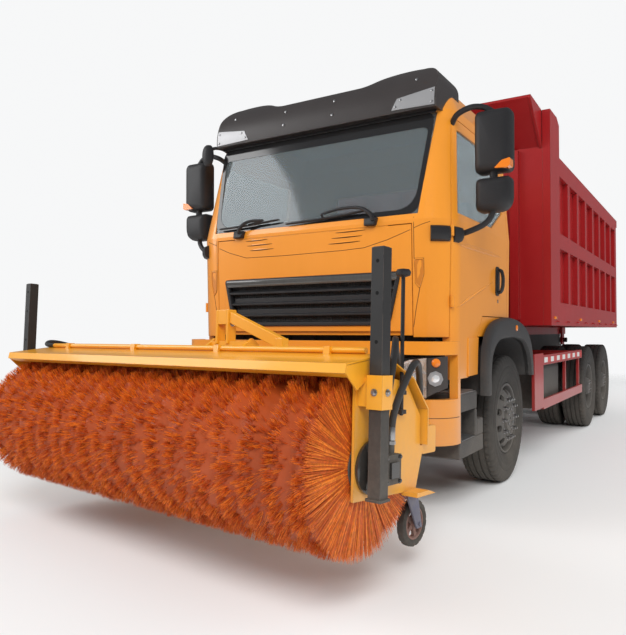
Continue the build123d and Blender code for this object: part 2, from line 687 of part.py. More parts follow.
# Dashboard, seats and steering wheel seen through the glass
seat_x = 560.0
floor_top = cab_floor_z + cab_floor_thickness
with BuildPart() as cab_interior:
    dash_y = firewall_y + 30
    span(-1030, 1030, dash_y, dash_y + 330, floor_top + 380, floor_top + 700)
    span(-1030, 1030, dash_y, dash_y + 60, floor_top, floor_top + 400)
    for side in (-1, 1):
        x0 = side * seat_x - 250
        x1 = side * seat_x + 250
        y1 = cab_rear_y - cab_wall - 110
        span(x0, x1, y1 - 560, y1, floor_top, floor_top + 420)
        with BuildSketch(lengthwise(x0)):
            outline([(y1 - 180, floor_top + 380), (y1 - 40, floor_top + 1150), (y1 + 80, floor_top + 1150),
                     (y1, floor_top + 380)])
        extrude(amount=500)
    wheel_centre = (seat_x, dash_y + 480, floor_top + 730)
    bar((seat_x, dash_y + 250, floor_top + 560), wheel_centre, 30)
    with Locations(Plane(origin=wheel_centre, z_dir=(0, 230, 170)).location):
        Cylinder(215, 24)
        Cylinder(185, 24, mode=Mode.SUBTRACT)
        Box(40, 400, 40)
save(cab_interior.part, "cab_interior")

# Bumper ring with lamp openings, and the lamps that fill them
bumper_y = front_axle_y - bumper_front
bumper_rear_y = front_axle_y - bumper_side_rear
lamp_depth = 190.0


def bumper_ring(low, high):
    with BuildPart() as ring:
        for inset, mode in ((0, Mode.ADD), (bumper_wall, Mode.SUBTRACT)):
            with BuildSketch(Plane.XY.offset(low)) as plan:
                with Locations((0, (bumper_y + bumper_rear_y) / 2 + inset)):
                    Rectangle(2 * (bumper_half_width - inset), bumper_rear_y - bumper_y)
                fillet(plan.vertices().group_by(Axis.Y)[0], bumper_corner_radius - inset)
            extrude(amount=high - low, mode=mode)
    return ring.part


with BuildPart() as front_bumper:
    add(bumper_ring(bumper_bottom_z, bumper_top_z))
    for side in (-1, 1):
        span(side * lamp_inner_x, side * (bumper_half_width + 10), bumper_y - 10, bumper_y + lamp_depth,
             lamp_low_z, lamp_high_z, mode=Mode.SUBTRACT)
        span(side * rail_outer_x, side * (rail_outer_x - 60), bumper_y + bumper_wall, rail_front_y, 800, 1000)
save(front_bumper.part, "front_bumper")

with BuildPart() as headlamps:
    add(bumper_ring(lamp_low_z, lamp_high_z))
    span(-lamp_inner_x, lamp_inner_x, bumper_y - 10, bumper_rear_y + 10, lamp_low_z, lamp_high_z, mode=Mode.SUBTRACT)
    span(-bumper_half_width - 10, bumper_half_width + 10, bumper_y + lamp_depth, bumper_rear_y + 10,
         lamp_low_z, lamp_high_z, mode=Mode.SUBTRACT)
save(headlamps.part, "headlamps")

# Tipping body: floor on two long beams with cross bearers and hinge ears
panel_outer_x = bed_half_width - bed_rib_depth
panel_inner_x = panel_outer_x - bed_wall
bed_front_wall = 40.0
bearer_count = 9
bearer_width = 80.0
ear_thickness_bed = 36.0
ear_inner_x = rail_outer_x + running_gap
with BuildPart() as bed_floor:
    floor_front_y = bed_front_y + bed_front_wall
    span(-panel_inner_x, panel_inner_x, floor_front_y, bed_rear_y, bed_floor_z, bed_floor_z + bed_floor_thickness)
    pitch = (bed_rear_y - floor_front_y - bearer_width) / (bearer_count - 1)
    for step in range(bearer_count):
        y = floor_front_y + pitch * step
        span(-panel_inner_x, panel_inner_x, y, y + bearer_width, bed_bottom_z, bed_floor_z)
    for side in (-1, 1):
        span(side * (rail_outer_x - rail_flange), side * rail_outer_x, floor_front_y, bed_rear_y, subframe_top_z, bed_floor_z)
        ear = (side * ear_inner_x, side * (ear_inner_x + ear_thickness_bed))
        span(ear[0], ear[1], hinge_y - 80, hinge_y + 80, hinge_z - 80, bed_floor_z)
    bar((-ear_inner_x - 60, hinge_y, hinge_z), (ear_inner_x + 60, hinge_y, hinge_z), hinge_pin_radius + fit_gap,
        mode=Mode.SUBTRACT)
save(bed_floor.part, "bed_floor")

# Ribbed sides: a flat panel with rails, ribs and posts standing out from it
side_bays = 8
rib_width = 110.0
rear_post = 190.0
window_rows = ((1600.0, 2190.0), (2355.0, 2980.0))
bay_start_y = bed_front_y + bed_post_length
bay_pitch = (bed_rear_y - rear_post - bay_start_y + rib_width) / side_bays
gate_pin_y = bed_rear_y + 45.0
gate_pin_z = bed_side_top_z - 55
gate_pin_radius = 24.0
gate_ear = 60.0
side_outline = [(bed_front_y, bed_bottom_z), (bed_rear_y, bed_bottom_z), (bed_rear_y, bed_side_top_z),
                (bed_front_y + bed_post_length, bed_side_top_z), (bed_front_y + bed_post_length, bed_post_top_z - 60),
                (bed_front_y + bed_post_length - 120, bed_post_top_z), (bed_front_y, bed_post_top_z)]
with BuildPart() as bed_sides:
    for side in (-1, 1):
        with BuildSketch(lengthwise(side * panel_inner_x)):
            outline(side_outline)
        extrude(amount=side * bed_wall)
        with BuildSketch(lengthwise(side * panel_outer_x)):
            outline(side_outline)
            for low, high in window_rows:
                with Locations(*[(bay_start_y + bay_pitch * (bay + 0.5) - rib_width / 2, (low + high) / 2)
                                 for bay in range(side_bays)]):
                    Rectangle(bay_pitch - rib_width, high - low, mode=Mode.SUBTRACT)
        extrude(amount=side * bed_rib_depth)
        span(side * panel_outer_x, side * bed_half_width, bed_rear_y - 150, gate_pin_y + gate_ear, gate_pin_z - gate_ear,
             bed_side_top_z)
    bar((-bed_half_width - 10, gate_pin_y, gate_pin_z), (bed_half_width + 10, gate_pin_y, gate_pin_z),
        gate_pin_radius + fit_gap, mode=Mode.SUBTRACT)
save(bed_sides.part, "bed_sides")

# Front wall with stiffeners, canopy over the cab and hooks that take the hoist's cross pin
hook_x = (138.0, 172.0)
stiffener_xs = (-900.0, -450.0, 450.0, 900.0)
canopy_lip_y = bed_front_y - canopy_reach
with BuildPart() as bed_front:
    span(-panel_inner_x, panel_inner_x, bed_front_y, bed_front_y + bed_front_wall, bed_bottom_z, bed_front_top_z)
    for x in stiffener_xs:
        span(x - 45, x + 45, bed_front_y - 60, bed_front_y, bed_bottom_z + 60, bed_front_top_z - 60)
    with BuildSketch(lengthwise(-canopy_half_width)):
        outline([(bed_front_y + bed_front_wall, bed_front_top_z - 40), (bed_front_y, bed_front_top_z - 40),
                 (canopy_lip_y, canopy_lip_z - canopy_sheet), (canopy_lip_y, canopy_lip_z),
                 (bed_front_y + bed_front_wall, bed_front_top_z + 30)])
    extrude(amount=2 * canopy_half_width)
    for side in (-1, 1):
        with BuildSketch(lengthwise(side * canopy_half_width)):
            outline([(bed_front_y + bed_front_wall, bed_front_top_z - 60), (bed_front_y, bed_front_top_z - 60),
                     (canopy_lip_y, canopy_lip_z - 30), (canopy_lip_y, canopy_lip_z),
                     (bed_front_y + bed_front_wall, bed_post_top_z)])
        extrude(amount=side * bed_wall)
        with BuildSketch(lengthwise(side * hook_x[0])):
            slot = hoist_pin_radius + hook_clearance
            crown = hoist_eye_z + hoist_pin_radius + fit_gap
            outline([(bed_front_y, hoist_eye_z + 130), (bed_front_y, hoist_eye_z - 60), (hoist_eye_y + slot, hoist_eye_z - 60),
                     (hoist_eye_y + slot, crown), (hoist_eye_y - slot, crown), (hoist_eye_y - slot, hoist_eye_z - 60),
                     (hoist_eye_y - slot - 45, hoist_eye_z - 60), (hoist_eye_y - slot - 45, crown + 60)])
        extrude(amount=side * (hook_x[1] - hook_x[0]))
save(bed_front.part, "bed_front")

# Top-hung tailgate with ribs on its outer face
gate_thickness = 40.0
gate_top_z = bed_side_top_z - 120
gate_low_z = bed_floor_z + 10
gate_y = bed_rear_y + running_gap
gate_half_width = panel_outer_x - 10
gate_ribs = 6
gate_rib_depth = 50.0
gate_rail_height = 150.0
gate_waist_z = (gate_low_z + gate_top_z - gate_rail_height) / 2
with BuildPart() as tailgate:
    span(-gate_half_width, gate_half_width, gate_y, gate_y + gate_thickness, gate_low_z, gate_top_z)
    rib_pitch = (2 * gate_half_width - rib_width) / (gate_ribs - 1)
    for step in range(gate_ribs):
        x = -gate_half_width + rib_width / 2 + rib_pitch * step
        span(x - rib_width / 2, x + rib_width / 2, gate_y + gate_thickness, gate_y + gate_thickness + gate_rib_depth,
             gate_low_z, gate_top_z)
    for low in (gate_low_z, gate_waist_z, gate_top_z - gate_rail_height):
        span(-gate_half_width, gate_half_width, gate_y + gate_thickness, gate_y + gate_thickness + gate_rib_depth,
             low, low + gate_rail_height)
    for side in (-1, 1):
        arm_x = (side * (panel_inner_x - 90), side * (panel_inner_x - 10))
        span(arm_x[0], arm_x[1], gate_y, gate_y + gate_thickness + gate_rib_depth, gate_top_z, gate_pin_z + 40)
        bar((arm_x[0], gate_pin_y, gate_pin_z), (side * bed_half_width, gate_pin_y, gate_pin_z), gate_pin_radius)
save(tailgate.part, "tailgate")

# Telescopic hoist: barrel on the frame's cross pin, stages nested in it, cross pin on the last stage
hoist_run = Vector(0, hoist_eye_y - hoist_foot_y, hoist_eye_z - hoist_foot_z).normalized()
hoist_plane = Plane(origin=(0, hoist_foot_y, hoist_foot_z), x_dir=(1, 0, 0), z_dir=hoist_run)
stage_radii = [hoist_barrel_radius - hoist_stage_step * step for step in range(hoist_stages + 1)]
stage_wall = hoist_stage_step - fit_gap
for step, radius in enumerate(stage_radii):
    start = hoist_base_length + 25 * step
    end = hoist_closed - 160 + 30 * step
    last = step == hoist_stages
    with BuildPart() as stage:
        with BuildSketch(hoist_plane.offset(start)):
            Circle(radius)
            if not last:
                Circle(radius - stage_wall, mode=Mode.SUBTRACT)
        extrude(amount=(hoist_closed if last else end) - start)
        if step == 0:
            with BuildSketch(hoist_plane):
                Rectangle(2 * hoist_foot_half - 4, 150)
            extrude(amount=start)
            with Locations(Location((0, hoist_foot_y, hoist_foot_z), (0, 90, 0))):
                Cylinder(75, 2 * hoist_foot_half - 4)
                Cylinder(hoist_pin_radius + fit_gap, 3 * hoist_foot_half, mode=Mode.SUBTRACT)
        if last:
            with Locations(Location((0, hoist_eye_y, hoist_eye_z), (0, 90, 0))):
                Cylinder(hoist_pin_radius, 2 * hook_x[1] + 20)
    save(stage.part, "hoist_barrel" if step == 0 else f"hoist_stage_{step}")

# Broom hitch: a plate ahead of the bumper on two arms that pass under it to the rails
plate_y = (front_axle_y - 1602.0, front_axle_y - 1562.0)
plate_half_width = 430.0
plate_z = (400.0, 1120.0)
hitch_arm_z = (400.0, 500.0)
lift_ear_x = (300.0, 332.0)
ram_pin_radius = 20.0
ram_top = (front_axle_y - 1672.0, 1070.0)
ram_ear_x = (50.0, 76.0)
with BuildPart() as hitch_frame:
    span(-plate_half_width, plate_half_width, plate_y[0], plate_y[1], plate_z[0], plate_z[1])
    span(-250, 250, plate_y[0] - 1, plate_y[1] + 1, 560, 960, mode=Mode.SUBTRACT)
    for side in (-1, 1):
        arm_x = (side * (rail_outer_x - rail_flange), side * rail_outer_x)
        span(arm_x[0], arm_x[1], plate_y[1], rail_front_y + 130, hitch_arm_z[0], hitch_arm_z[1])
        span(arm_x[0], arm_x[1], rail_front_y + 20, rail_front_y + 130, hitch_arm_z[1], rail_bottom_z)
        span(side * lift_ear_x[0], side * lift_ear_x[1], lift_pivot_y - 50, plate_y[0], plate_z[0], lift_pivot_z + 55)
        span(side * ram_ear_x[0], side * ram_ear_x[1], ram_top[0] - 40, plate_y[0], ram_top[1] - 45, ram_top[1] + 45)
    bar((-340, lift_pivot_y, lift_pivot_z), (340, lift_pivot_y, lift_pivot_z), lift_pin_radius + fit_gap, mode=Mode.SUBTRACT)
    bar((-90, ram_top[0], ram_top[1]), (90, ram_top[0], ram_top[1]), ram_pin_radius)
save(hitch_frame.part, "hitch_frame")

# Lift frame, drawn level from its pivot and leaned back to the raised rest
lift_level = Plane(origin=(0, lift_pivot_y, lift_pivot_z)).rotated((-broom_lean, 0, 0))


def on_lift(x, y, z, turn=(0, 0, 0)):
    return Plane(lift_level.location * Location((x, y, z), turn))


yaw_tube_radius = 82.0
yaw_tube_half = 120.0
ram_eye = (-95.0, 70.0)
lift_arm_x = (236.0, 290.0)
with BuildPart() as lift_frame:
    with Locations(on_lift(0, 0, 0, (0, 90, 0)).location):
        Cylinder(lift_pin_radius, 2 * lift_ear_x[1] + 16)
        Cylinder(48, 2 * lift_arm_x[1])
    for side in (-1, 1):
        with Locations(on_lift(side * sum(lift_arm_x) / 2, -90, 0).location):
            Box(lift_arm_x[1] - lift_arm_x[0], 180, 110)
    with Locations(on_lift(0, -yaw_reach + 62, 0).location):
        Box(2 * lift_arm_x[1], 90, 2 * yaw_tube_half)
    for side in (-1, 1):
        with Locations(on_lift(side * 48, ram_eye[0] + 18, ram_eye[1] + 20).location):
            Box(20, 110, 120)
    with Locations(on_lift(0, ram_eye[0], ram_eye[1], (0, 90, 0)).location):
        Cylinder(ram_pin_radius, 100)
    with Locations(on_lift(0, -yaw_reach, 0).location):
        Cylinder(yaw_tube_radius, 2 * yaw_tube_half)
        Cylinder(yaw_pin_radius + fit_gap, 3 * yaw_tube_half, mode=Mode.SUBTRACT)
save(lift_frame.part, "lift_frame")

# Lift ram between the hitch plate and the lift frame
ram_foot = on_lift(0, ram_eye[0], ram_eye[1]).origin
ram_head = Vector(0, ram_top[0], ram_top[1])
ram_length = (ram_foot - ram_head).length
ram_plane = Plane(origin=ram_head, x_dir=(1, 0, 0), z_dir=ram_foot - ram_head)
ram_rod_radius = 24.0
with BuildPart() as lift_barrel:
    with BuildSketch(ram_plane.offset(30)):
        Circle(42)
    extrude(amount=310)
    with Locations(Location(ram_head, (0, 90, 0))):
        Cylinder(36, 2 * ram_ear_x[0] - 8)
        Cylinder(ram_pin_radius + fit_gap, 4 * ram_ear_x[1], mode=Mode.SUBTRACT)
    with BuildSketch(ram_plane.offset(50)):
        Circle(ram_rod_radius + fit_gap)
    extrude(amount=400, mode=Mode.SUBTRACT)
save(lift_barrel.part, "lift_barrel")

with BuildPart() as lift_rod:
    with BuildSketch(ram_plane.offset(60)):
        Circle(ram_rod_radius)
    extrude(amount=ram_length - 60)
    with Locations(Location(ram_foot, (0, 90, 0))):
        Cylinder(32, 70)
        Cylinder(ram_pin_radius + fit_gap, 200, mode=Mode.SUBTRACT)
save(lift_rod.part, "lift_rod")

# Broom, drawn square to its own yaw pin and turned to the rest angle
broom_level = Plane(lift_level.location * Location((0, -yaw_reach, 0), (0, 0, -broom_yaw)))


def on_broom(x, y, z, turn=(0, 0, 0)):
    return Plane(broom_level.location * Location((x, y, z), turn))


def broom_section(x):
    # Upright plane across the brush: local x is rearwards from the brush axis, local y is up from it
    place = on_broom(x, -brush_ahead, brush_rise)
    return Plane(origin=place.origin, x_dir=place.y_dir, z_dir=place.x_dir)


plate_outer_x = brush_length / 2 + end_plate_gap + end_plate_wall
beam_front = 460.0
beam_middle_z = 80.0
beam_half_length = plate_outer_x
yoke_thickness = 34.0
end_plate_points = [(-130, -140), (-130, 385), (20, 430), (305, 375), (beam_front - 20, 205), (beam_front - 20, 60),
                    (beam_front, 55), (beam_front, 14), (400, -160)]
sleeve_low = 270.0
sleeve_high = 420.0
caster_stem_radius = 40.0
caster_crown = caster_bottom + 2 * caster_radius + 22.0
crown_thickness = 26.0
tower_x = 190.0
hose_radius = 13.0
fitting_xs = (1430.0, 1330.0, -1410.0)
fitting_y = -brush_ahead + beam_front + beam_size / 2
fitting_top = brush_rise + beam_middle_z + beam_size / 2 + 30
with BuildPart() as broom_frame:
    with BuildSketch(broom_section(-beam_half_length)):
        with Locations((beam_front + beam_size / 2, beam_middle_z)):
            RectangleRounded(beam_size, beam_size, 14)
    extrude(amount=2 * beam_half_length)
    for side in (-1, 1):
        with BuildSketch(broom_section(side * (plate_outer_x - end_plate_wall))):
            outline(end_plate_points)
            Circle(brush_shaft_radius + fit_gap, mode=Mode.SUBTRACT)
        extrude(amount=side * end_plate_wall)
        with BuildSketch(broom_section(side * (plate_outer_x - end_plate_wall))):
            outline([(290, -150), (402, -150), (470, -172), (290, -172)])
        extrude(amount=side * 90)
        leg_side = on_broom(side * leg_x, -brush_ahead + leg_back, brush_rise + (sleeve_low + sleeve_high) / 2)
        outer = leg_size + 2 * fit_gap + 2 * sleeve_wall
        with Locations(leg_side.location):
            Box(outer, outer, sleeve_high - sleeve_low)
            Box(leg_size + 2 * fit_gap, leg_size + 2 * fit_gap, sleeve_high, mode=Mode.SUBTRACT)
        inner_x = side * (plate_outer_x + leg_x - outer / 2) / 2
        with Locations(on_broom(inner_x, -brush_ahead + leg_back, brush_rise + (sleeve_low + sleeve_high) / 2).location):
            Box(leg_x - outer / 2 - plate_outer_x, outer - 20, sleeve_high - sleeve_low - 20)
        stem_low = caster_crown + crown_thickness + fit_gap
        stem_high = brush_rise + beam_middle_z
        with Locations(on_broom(side * caster_x, -brush_ahead + caster_back, (stem_low + stem_high) / 2).location):
            Cylinder(caster_stem_radius, stem_high - stem_low)
        with Locations(on_broom(side * caster_x, -brush_ahead + caster_back, stem_low).location):
            Cylinder(fork_pin_radius + fit_gap, 260, mode=Mode.SUBTRACT)
        yoke_z = side * (yaw_tube_half + fit_gap + yoke_thickness / 2)
        yoke_reach = brush_ahead - beam_front - beam_size / 2
        with Locations(on_broom(0, -yoke_reach / 2, yoke_z).location):
            Box(230, yoke_reach, yoke_thickness)
        with Locations(on_broom(0, 0, yoke_z).location):
            Cylinder(yaw_tube_radius + 6, yoke_thickness)
        with BuildSketch(broom_section(side * tower_x)):
            outline([(beam_front + 10, 120), (beam_front + beam_size, 120), (beam_front + 120, 560), (beam_front + 60, 600),
                     (beam_front - 20, 545)])
        extrude(amount=-side * 24)
    with Locations(on_broom(0, -brush_ahead + beam_front + beam_size / 2, brush_rise - 60).location):
        Box(230, beam_size - 20, 340)
    with Locations(on_broom(0, -brush_ahead + beam_front + 50, brush_rise + 555).location):
        Box(2 * tower_x - 20, 60, 50)
    with Locations(on_broom(0, 0, 0).location):
        Cylinder(yaw_pin_radius, 2 * yaw_tube_half + 2 * yoke_thickness)
    for x in fitting_xs:
        with Locations(on_broom(x, fitting_y, fitting_top - 25).location):
            Cylinder(hose_radius + 4, 50)
save(broom_frame.part, "broom_frame")

# Hood: one folded sheet over the brush, with the oil pipe along its top
hood_line = ((-250.0, 425.0), (-243.0, 462.0), (50.0, 505.0), (310.0, 395.0), (beam_front - hood_sheet, 240.0),
             (beam_front - hood_sheet, 62.0))
pipe_radius = 15.0
pipe_back = 40.0
pipe_half_length = 1420.0
clamp_xs = (-1200.0, -400.0, 400.0, 1200.0)
with BuildPart() as broom_hood:
    with BuildSketch(broom_section(-hood_half_length)):
        with BuildLine():
            fold = Polyline(*hood_line)
            offset(fold, amount=hood_sheet, side=Side.LEFT, kind=Kind.INTERSECTION)
        make_face()
    extrude(amount=2 * hood_half_length)
    pipe_z = hood_line[2][1] + hood_sheet + pipe_radius
    pipe_start = broom_section(-pipe_half_length).from_local_coords(Vector(pipe_back, pipe_z, 0))
    pipe_end = broom_section(pipe_half_length).from_local_coords(Vector(pipe_back, pipe_z, 0))
    bar(pipe_start, pipe_end, pipe_radius)
    for x in clamp_xs:
        with BuildSketch(broom_section(x - 20)):
            outline([(pipe_back - 28, pipe_z - 29), (pipe_back + 28, pipe_z - 29), (pipe_back + 22, pipe_z + 18), (pipe_back - 22, pipe_z + 18)])
        extrude(amount=40)
save(broom_hood.part, "broom_hood")

# Brush: stacked wafers whose rims run in and out, on a core with stub shafts
with BuildPart() as brush:
    pitch = brush_length / brush_wafers
    half = brush_length / 2
    rim = [(-half, brush_radius - brush_groove)]
    for wafer in range(brush_wafers):
        rim += [(-half + pitch * (wafer + 0.5), brush_radius), (-half + pitch * (wafer + 1), brush_radius - brush_groove)]
    stub = plate_outer_x - fit_gap
    with BuildSketch(on_broom(0, -brush_ahead, brush_rise, (90, 0, 0))):
        outline(rim + [(half, brush_core_radius), (half, brush_shaft_radius), (stub, brush_shaft_radius), (stub, 0), (-stub, 0),
                       (-stub, brush_shaft_radius), (-half, brush_shaft_radius), (-half, brush_core_radius)])
    spin = on_broom(0, -brush_ahead, brush_rise)
    revolve(axis=Axis(spin.origin, spin.x_dir))
save(brush.part, "brush")

# Oil motor on the left end plate with two hose fittings, and a bearing cap on the right one
motor_table = (
    # low y, high y, low z, high z, length out from the end plate
    (-30.0, 100.0, -70.0, 62.0, 100.0),
    (-24.0, 24.0, -100.0, -70.0, 60.0),
)
motor_fittings = ((10.0, 105.0), (70.0, 105.0))
motor_fitting_x = plate_outer_x + 62
cap_radius = 74.0
with BuildPart() as motors:
    for low_y, high_y, low_z, high_z, length in motor_table:
        with BuildSketch(broom_section(plate_outer_x)):
            with Locations(((low_y + high_y) / 2, (low_z + high_z) / 2)):
                Rectangle(high_y - low_y, high_z - low_z)
        extrude(amount=length)
    for back, high in motor_fittings:
        place = on_broom(motor_fitting_x, -brush_ahead + back, brush_rise + (high + 50) / 2)
        with Locations(place.location):
            Cylinder(hose_radius + 4, high - 50)
    for side in (-1, 1):
        with BuildSketch(broom_section(side * plate_outer_x)):
            Circle(cap_radius)
        extrude(amount=side * 22)
save(motors.part, "motors")

# Parking legs, square tubes closed at the foot
for name, side in sides:
    with BuildPart() as leg:
        foot_z = brush_rise - 125.0
        with Locations(on_broom(side * leg_x, -brush_ahead + leg_back, foot_z + leg_length / 2).location):
            Box(leg_size, leg_size, leg_length)
        with Locations(on_broom(side * leg_x, -brush_ahead + leg_back, foot_z + leg_length / 2 + 12).location):
            Box(leg_size - 14, leg_size - 14, leg_length, mode=Mode.SUBTRACT)
    save(leg.part, f"leg_{name}")

# Swivel casters: fork with stem pin and axle, and its wheel
axle_radius = 11.0
cheek_gap = 8.0
cheek_wall = 9.0
axle_z = caster_bottom + caster_radius
stem_y = -brush_ahead + caster_back
wheel_y = stem_y + caster_trail
for name, side in sides:
    cheek_x = caster_width / 2 + cheek_gap
    with BuildPart() as fork:
        with Locations(on_broom(side * caster_x, stem_y, caster_crown + crown_thickness / 2).location):
            Cylinder(62, crown_thickness)
        with Locations(on_broom(side * caster_x, stem_y, caster_crown + crown_thickness + 60).location):
            Cylinder(fork_pin_radius, 120)
        for cheek in (-1, 1):
            place = on_broom(side * caster_x + cheek * cheek_x, stem_y, 0)
            with BuildSketch(Plane(origin=place.origin, x_dir=place.y_dir, z_dir=place.x_dir)):
                outline([(-50, caster_crown + crown_thickness), (-50, caster_crown), (caster_trail - 26, axle_z - 20),
                         (caster_trail + 26, axle_z - 20), (52, caster_crown), (52, caster_crown + crown_thickness)])
            extrude(amount=cheek * cheek_wall)
        with Locations(on_broom(side * caster_x, wheel_y, axle_z, (0, 90, 0)).location):
            Cylinder(axle_radius, 2 * (cheek_x + cheek_wall) + 12)
    save(fork.part, f"caster_fork_{name}")
    with BuildPart() as wheel:
        hub = on_broom(side * caster_x, wheel_y, axle_z)
        with BuildSketch(on_broom(side * caster_x, wheel_y, axle_z, (90, 0, 0))):
            half = caster_width / 2
            outline([(-half, 50), (-half, caster_radius - 10), (-half + 12, caster_radius), (half - 12, caster_radius),
                     (half, caster_radius - 10), (half, 50), (half + 6, 50), (half + 6, axle_radius + fit_gap),
                     (-half - 6, axle_radius + fit_gap), (-half - 6, 50)])
        revolve(axis=Axis(hub.origin, hub.x_dir))
    save(wheel.part, f"caster_wheel_{name}")

# Hoses, as points in the broom's own frame from the fitting up, over the hood and down to the beam
motor_fitting_y = [-brush_ahead + back for back, high in motor_fittings]
motor_fitting_z = brush_rise + motor_fittings[0][1]
pipe_y = -brush_ahead + pipe_back
pipe_level = brush_rise + pipe_z
hose_table = (
    ("hose_pressure", [(motor_fitting_x, motor_fitting_y[0], motor_fitting_z),
                       (motor_fitting_x, motor_fitting_y[0], motor_fitting_z + 110),
                       (1556, -888, 510), (1548, -842, 635), (1512, -770, 725), (1455, -680, 755), (1400, -590, 715),
                       (1358, -500, 625), (1336, -432, 520), (fitting_xs[1], fitting_y, fitting_top + 80),
                       (fitting_xs[1], fitting_y, fitting_top)]),
    ("hose_return", [(motor_fitting_x, motor_fitting_y[1], motor_fitting_z),
                     (motor_fitting_x, motor_fitting_y[1], motor_fitting_z + 95),
                     (1562, -822, 465), (1572, -762, 562), (1558, -680, 628), (1525, -588, 640), (1485, -500, 598),
                     (1450, -432, 520), (fitting_xs[0], fitting_y, fitting_top + 95),
                     (fitting_xs[0], fitting_y, fitting_top)]),
    ("hose_far", [(-pipe_half_length, pipe_y, pipe_level), (-pipe_half_length - 80, pipe_y, pipe_level),
                  (-1575, -862, pipe_level + 9), (-1632, -812, 712), (-1655, -738, 712), (-1640, -658, 697),
                  (-1590, -572, 668), (-1510, -494, 612), (-1448, -438, 538), (fitting_xs[2], fitting_y, fitting_top + 95),
                  (fitting_xs[2], fitting_y, fitting_top)]),
)
for name, route in hose_table:
    points = [broom_level.from_local_coords(Vector(*point)) for point in route]
    runs = [(b - a) for a, b in zip(points, points[1:])]
    turns = [a.get_angle(b) for a, b in zip(runs, runs[1:])]
    radii = [0.45 * min(a.length, b.length) / tan(radians(turn) / 2) for a, b, turn in zip(runs, runs[1:], turns)]
    with BuildPart() as hose:
        with BuildLine() as path:
            FilletPolyline(*points, radius=radii)
        with BuildSketch(Plane(origin=points[0], z_dir=runs[0])):
            Circle(hose_radius)
        sweep()
    save(hose.part, name)
    print(name, "length", round(path.wires()[0].length), "radii", [round(r) for r in radii])
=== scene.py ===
import json
import math
import random

import bmesh
import bpy
from mathutils import Matrix, Vector


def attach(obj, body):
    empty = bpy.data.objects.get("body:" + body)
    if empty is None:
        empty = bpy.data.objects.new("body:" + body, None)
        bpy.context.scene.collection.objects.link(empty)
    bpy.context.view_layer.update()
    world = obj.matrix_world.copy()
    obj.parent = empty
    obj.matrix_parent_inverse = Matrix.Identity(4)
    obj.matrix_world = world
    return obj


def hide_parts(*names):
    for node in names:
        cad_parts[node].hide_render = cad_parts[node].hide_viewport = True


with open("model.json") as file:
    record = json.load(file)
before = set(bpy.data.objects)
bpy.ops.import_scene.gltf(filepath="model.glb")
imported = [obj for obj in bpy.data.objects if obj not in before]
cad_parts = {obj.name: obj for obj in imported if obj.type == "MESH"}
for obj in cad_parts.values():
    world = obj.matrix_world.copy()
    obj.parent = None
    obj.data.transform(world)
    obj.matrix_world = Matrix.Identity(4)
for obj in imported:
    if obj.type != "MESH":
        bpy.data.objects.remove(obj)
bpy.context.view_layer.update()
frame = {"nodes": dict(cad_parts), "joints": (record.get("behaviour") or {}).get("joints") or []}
nodes = frame["nodes"]
joints = {joint["name"]: joint for joint in frame["joints"]}
scene = bpy.context.scene
scene.view_settings.view_transform = "Standard"
print("frame loaded:", len(nodes), "solids")

# camera at the photograph's place; the image is 626 x 635
cameraSetup = {
    "place": (2.805, -7.181, 1.295),
    "turn": 32.07,
    "rise": 1.18,
    "focalPixels": 642.4,
    "imageWidth": 626,
    "sensor": 36.0,
}
lightSetup = {
    "sky": 0.50,
    "mirrored": 0.20,  # sky as glossy surfaces see it
    "skyTone": (0.95, 0.97, 1.0),
    "backdrop": (0.93, 0.935, 0.94),
    "floorTone": (0.86, 0.86, 0.85),
    "floorRough": 0.85,
    "floorHalf": 60.0,
    "floorFade": (8.0, 15.0),
    # name, place, aim, size, watts, seen in reflections
    "lamps": (
        ("keyLamp", (6.0, -11.5, 8.5), (0.0, -2.5, 1.4), 6.0, 980, False),
        ("fillLamp", (-8.0, -8.0, 6.0), (0.0, -2.0, 1.5), 7.0, 470, True),
        ("rearLamp", (5.0, 9.5, 7.5), (0.0, 2.0, 1.6), 7.0, 430, False),
        ("sideLamp", (10.0, 2.0, 5.5), (0.0, 1.0, 1.6), 6.0, 270, False),
    ),
}


def placeCamera():
    data = bpy.data.cameras.new("photoCamera")
    data.sensor_fit = "HORIZONTAL"
    data.sensor_width = cameraSetup["sensor"]
    data.lens = cameraSetup["focalPixels"] / cameraSetup["imageWidth"] * cameraSetup["sensor"]
    data.clip_end = 200
    camera = bpy.data.objects.new("photoCamera", data)
    scene.collection.objects.link(camera)
    turn = math.radians(cameraSetup["turn"])
    rise = math.radians(cameraSetup["rise"])
    ahead = Vector((-math.sin(turn) * math.cos(rise), math.cos(turn) * math.cos(rise), math.sin(rise)))
    camera.location = cameraSetup["place"]
    camera.rotation_euler = ahead.to_track_quat("-Z", "Y").to_euler()
    scene.camera = camera


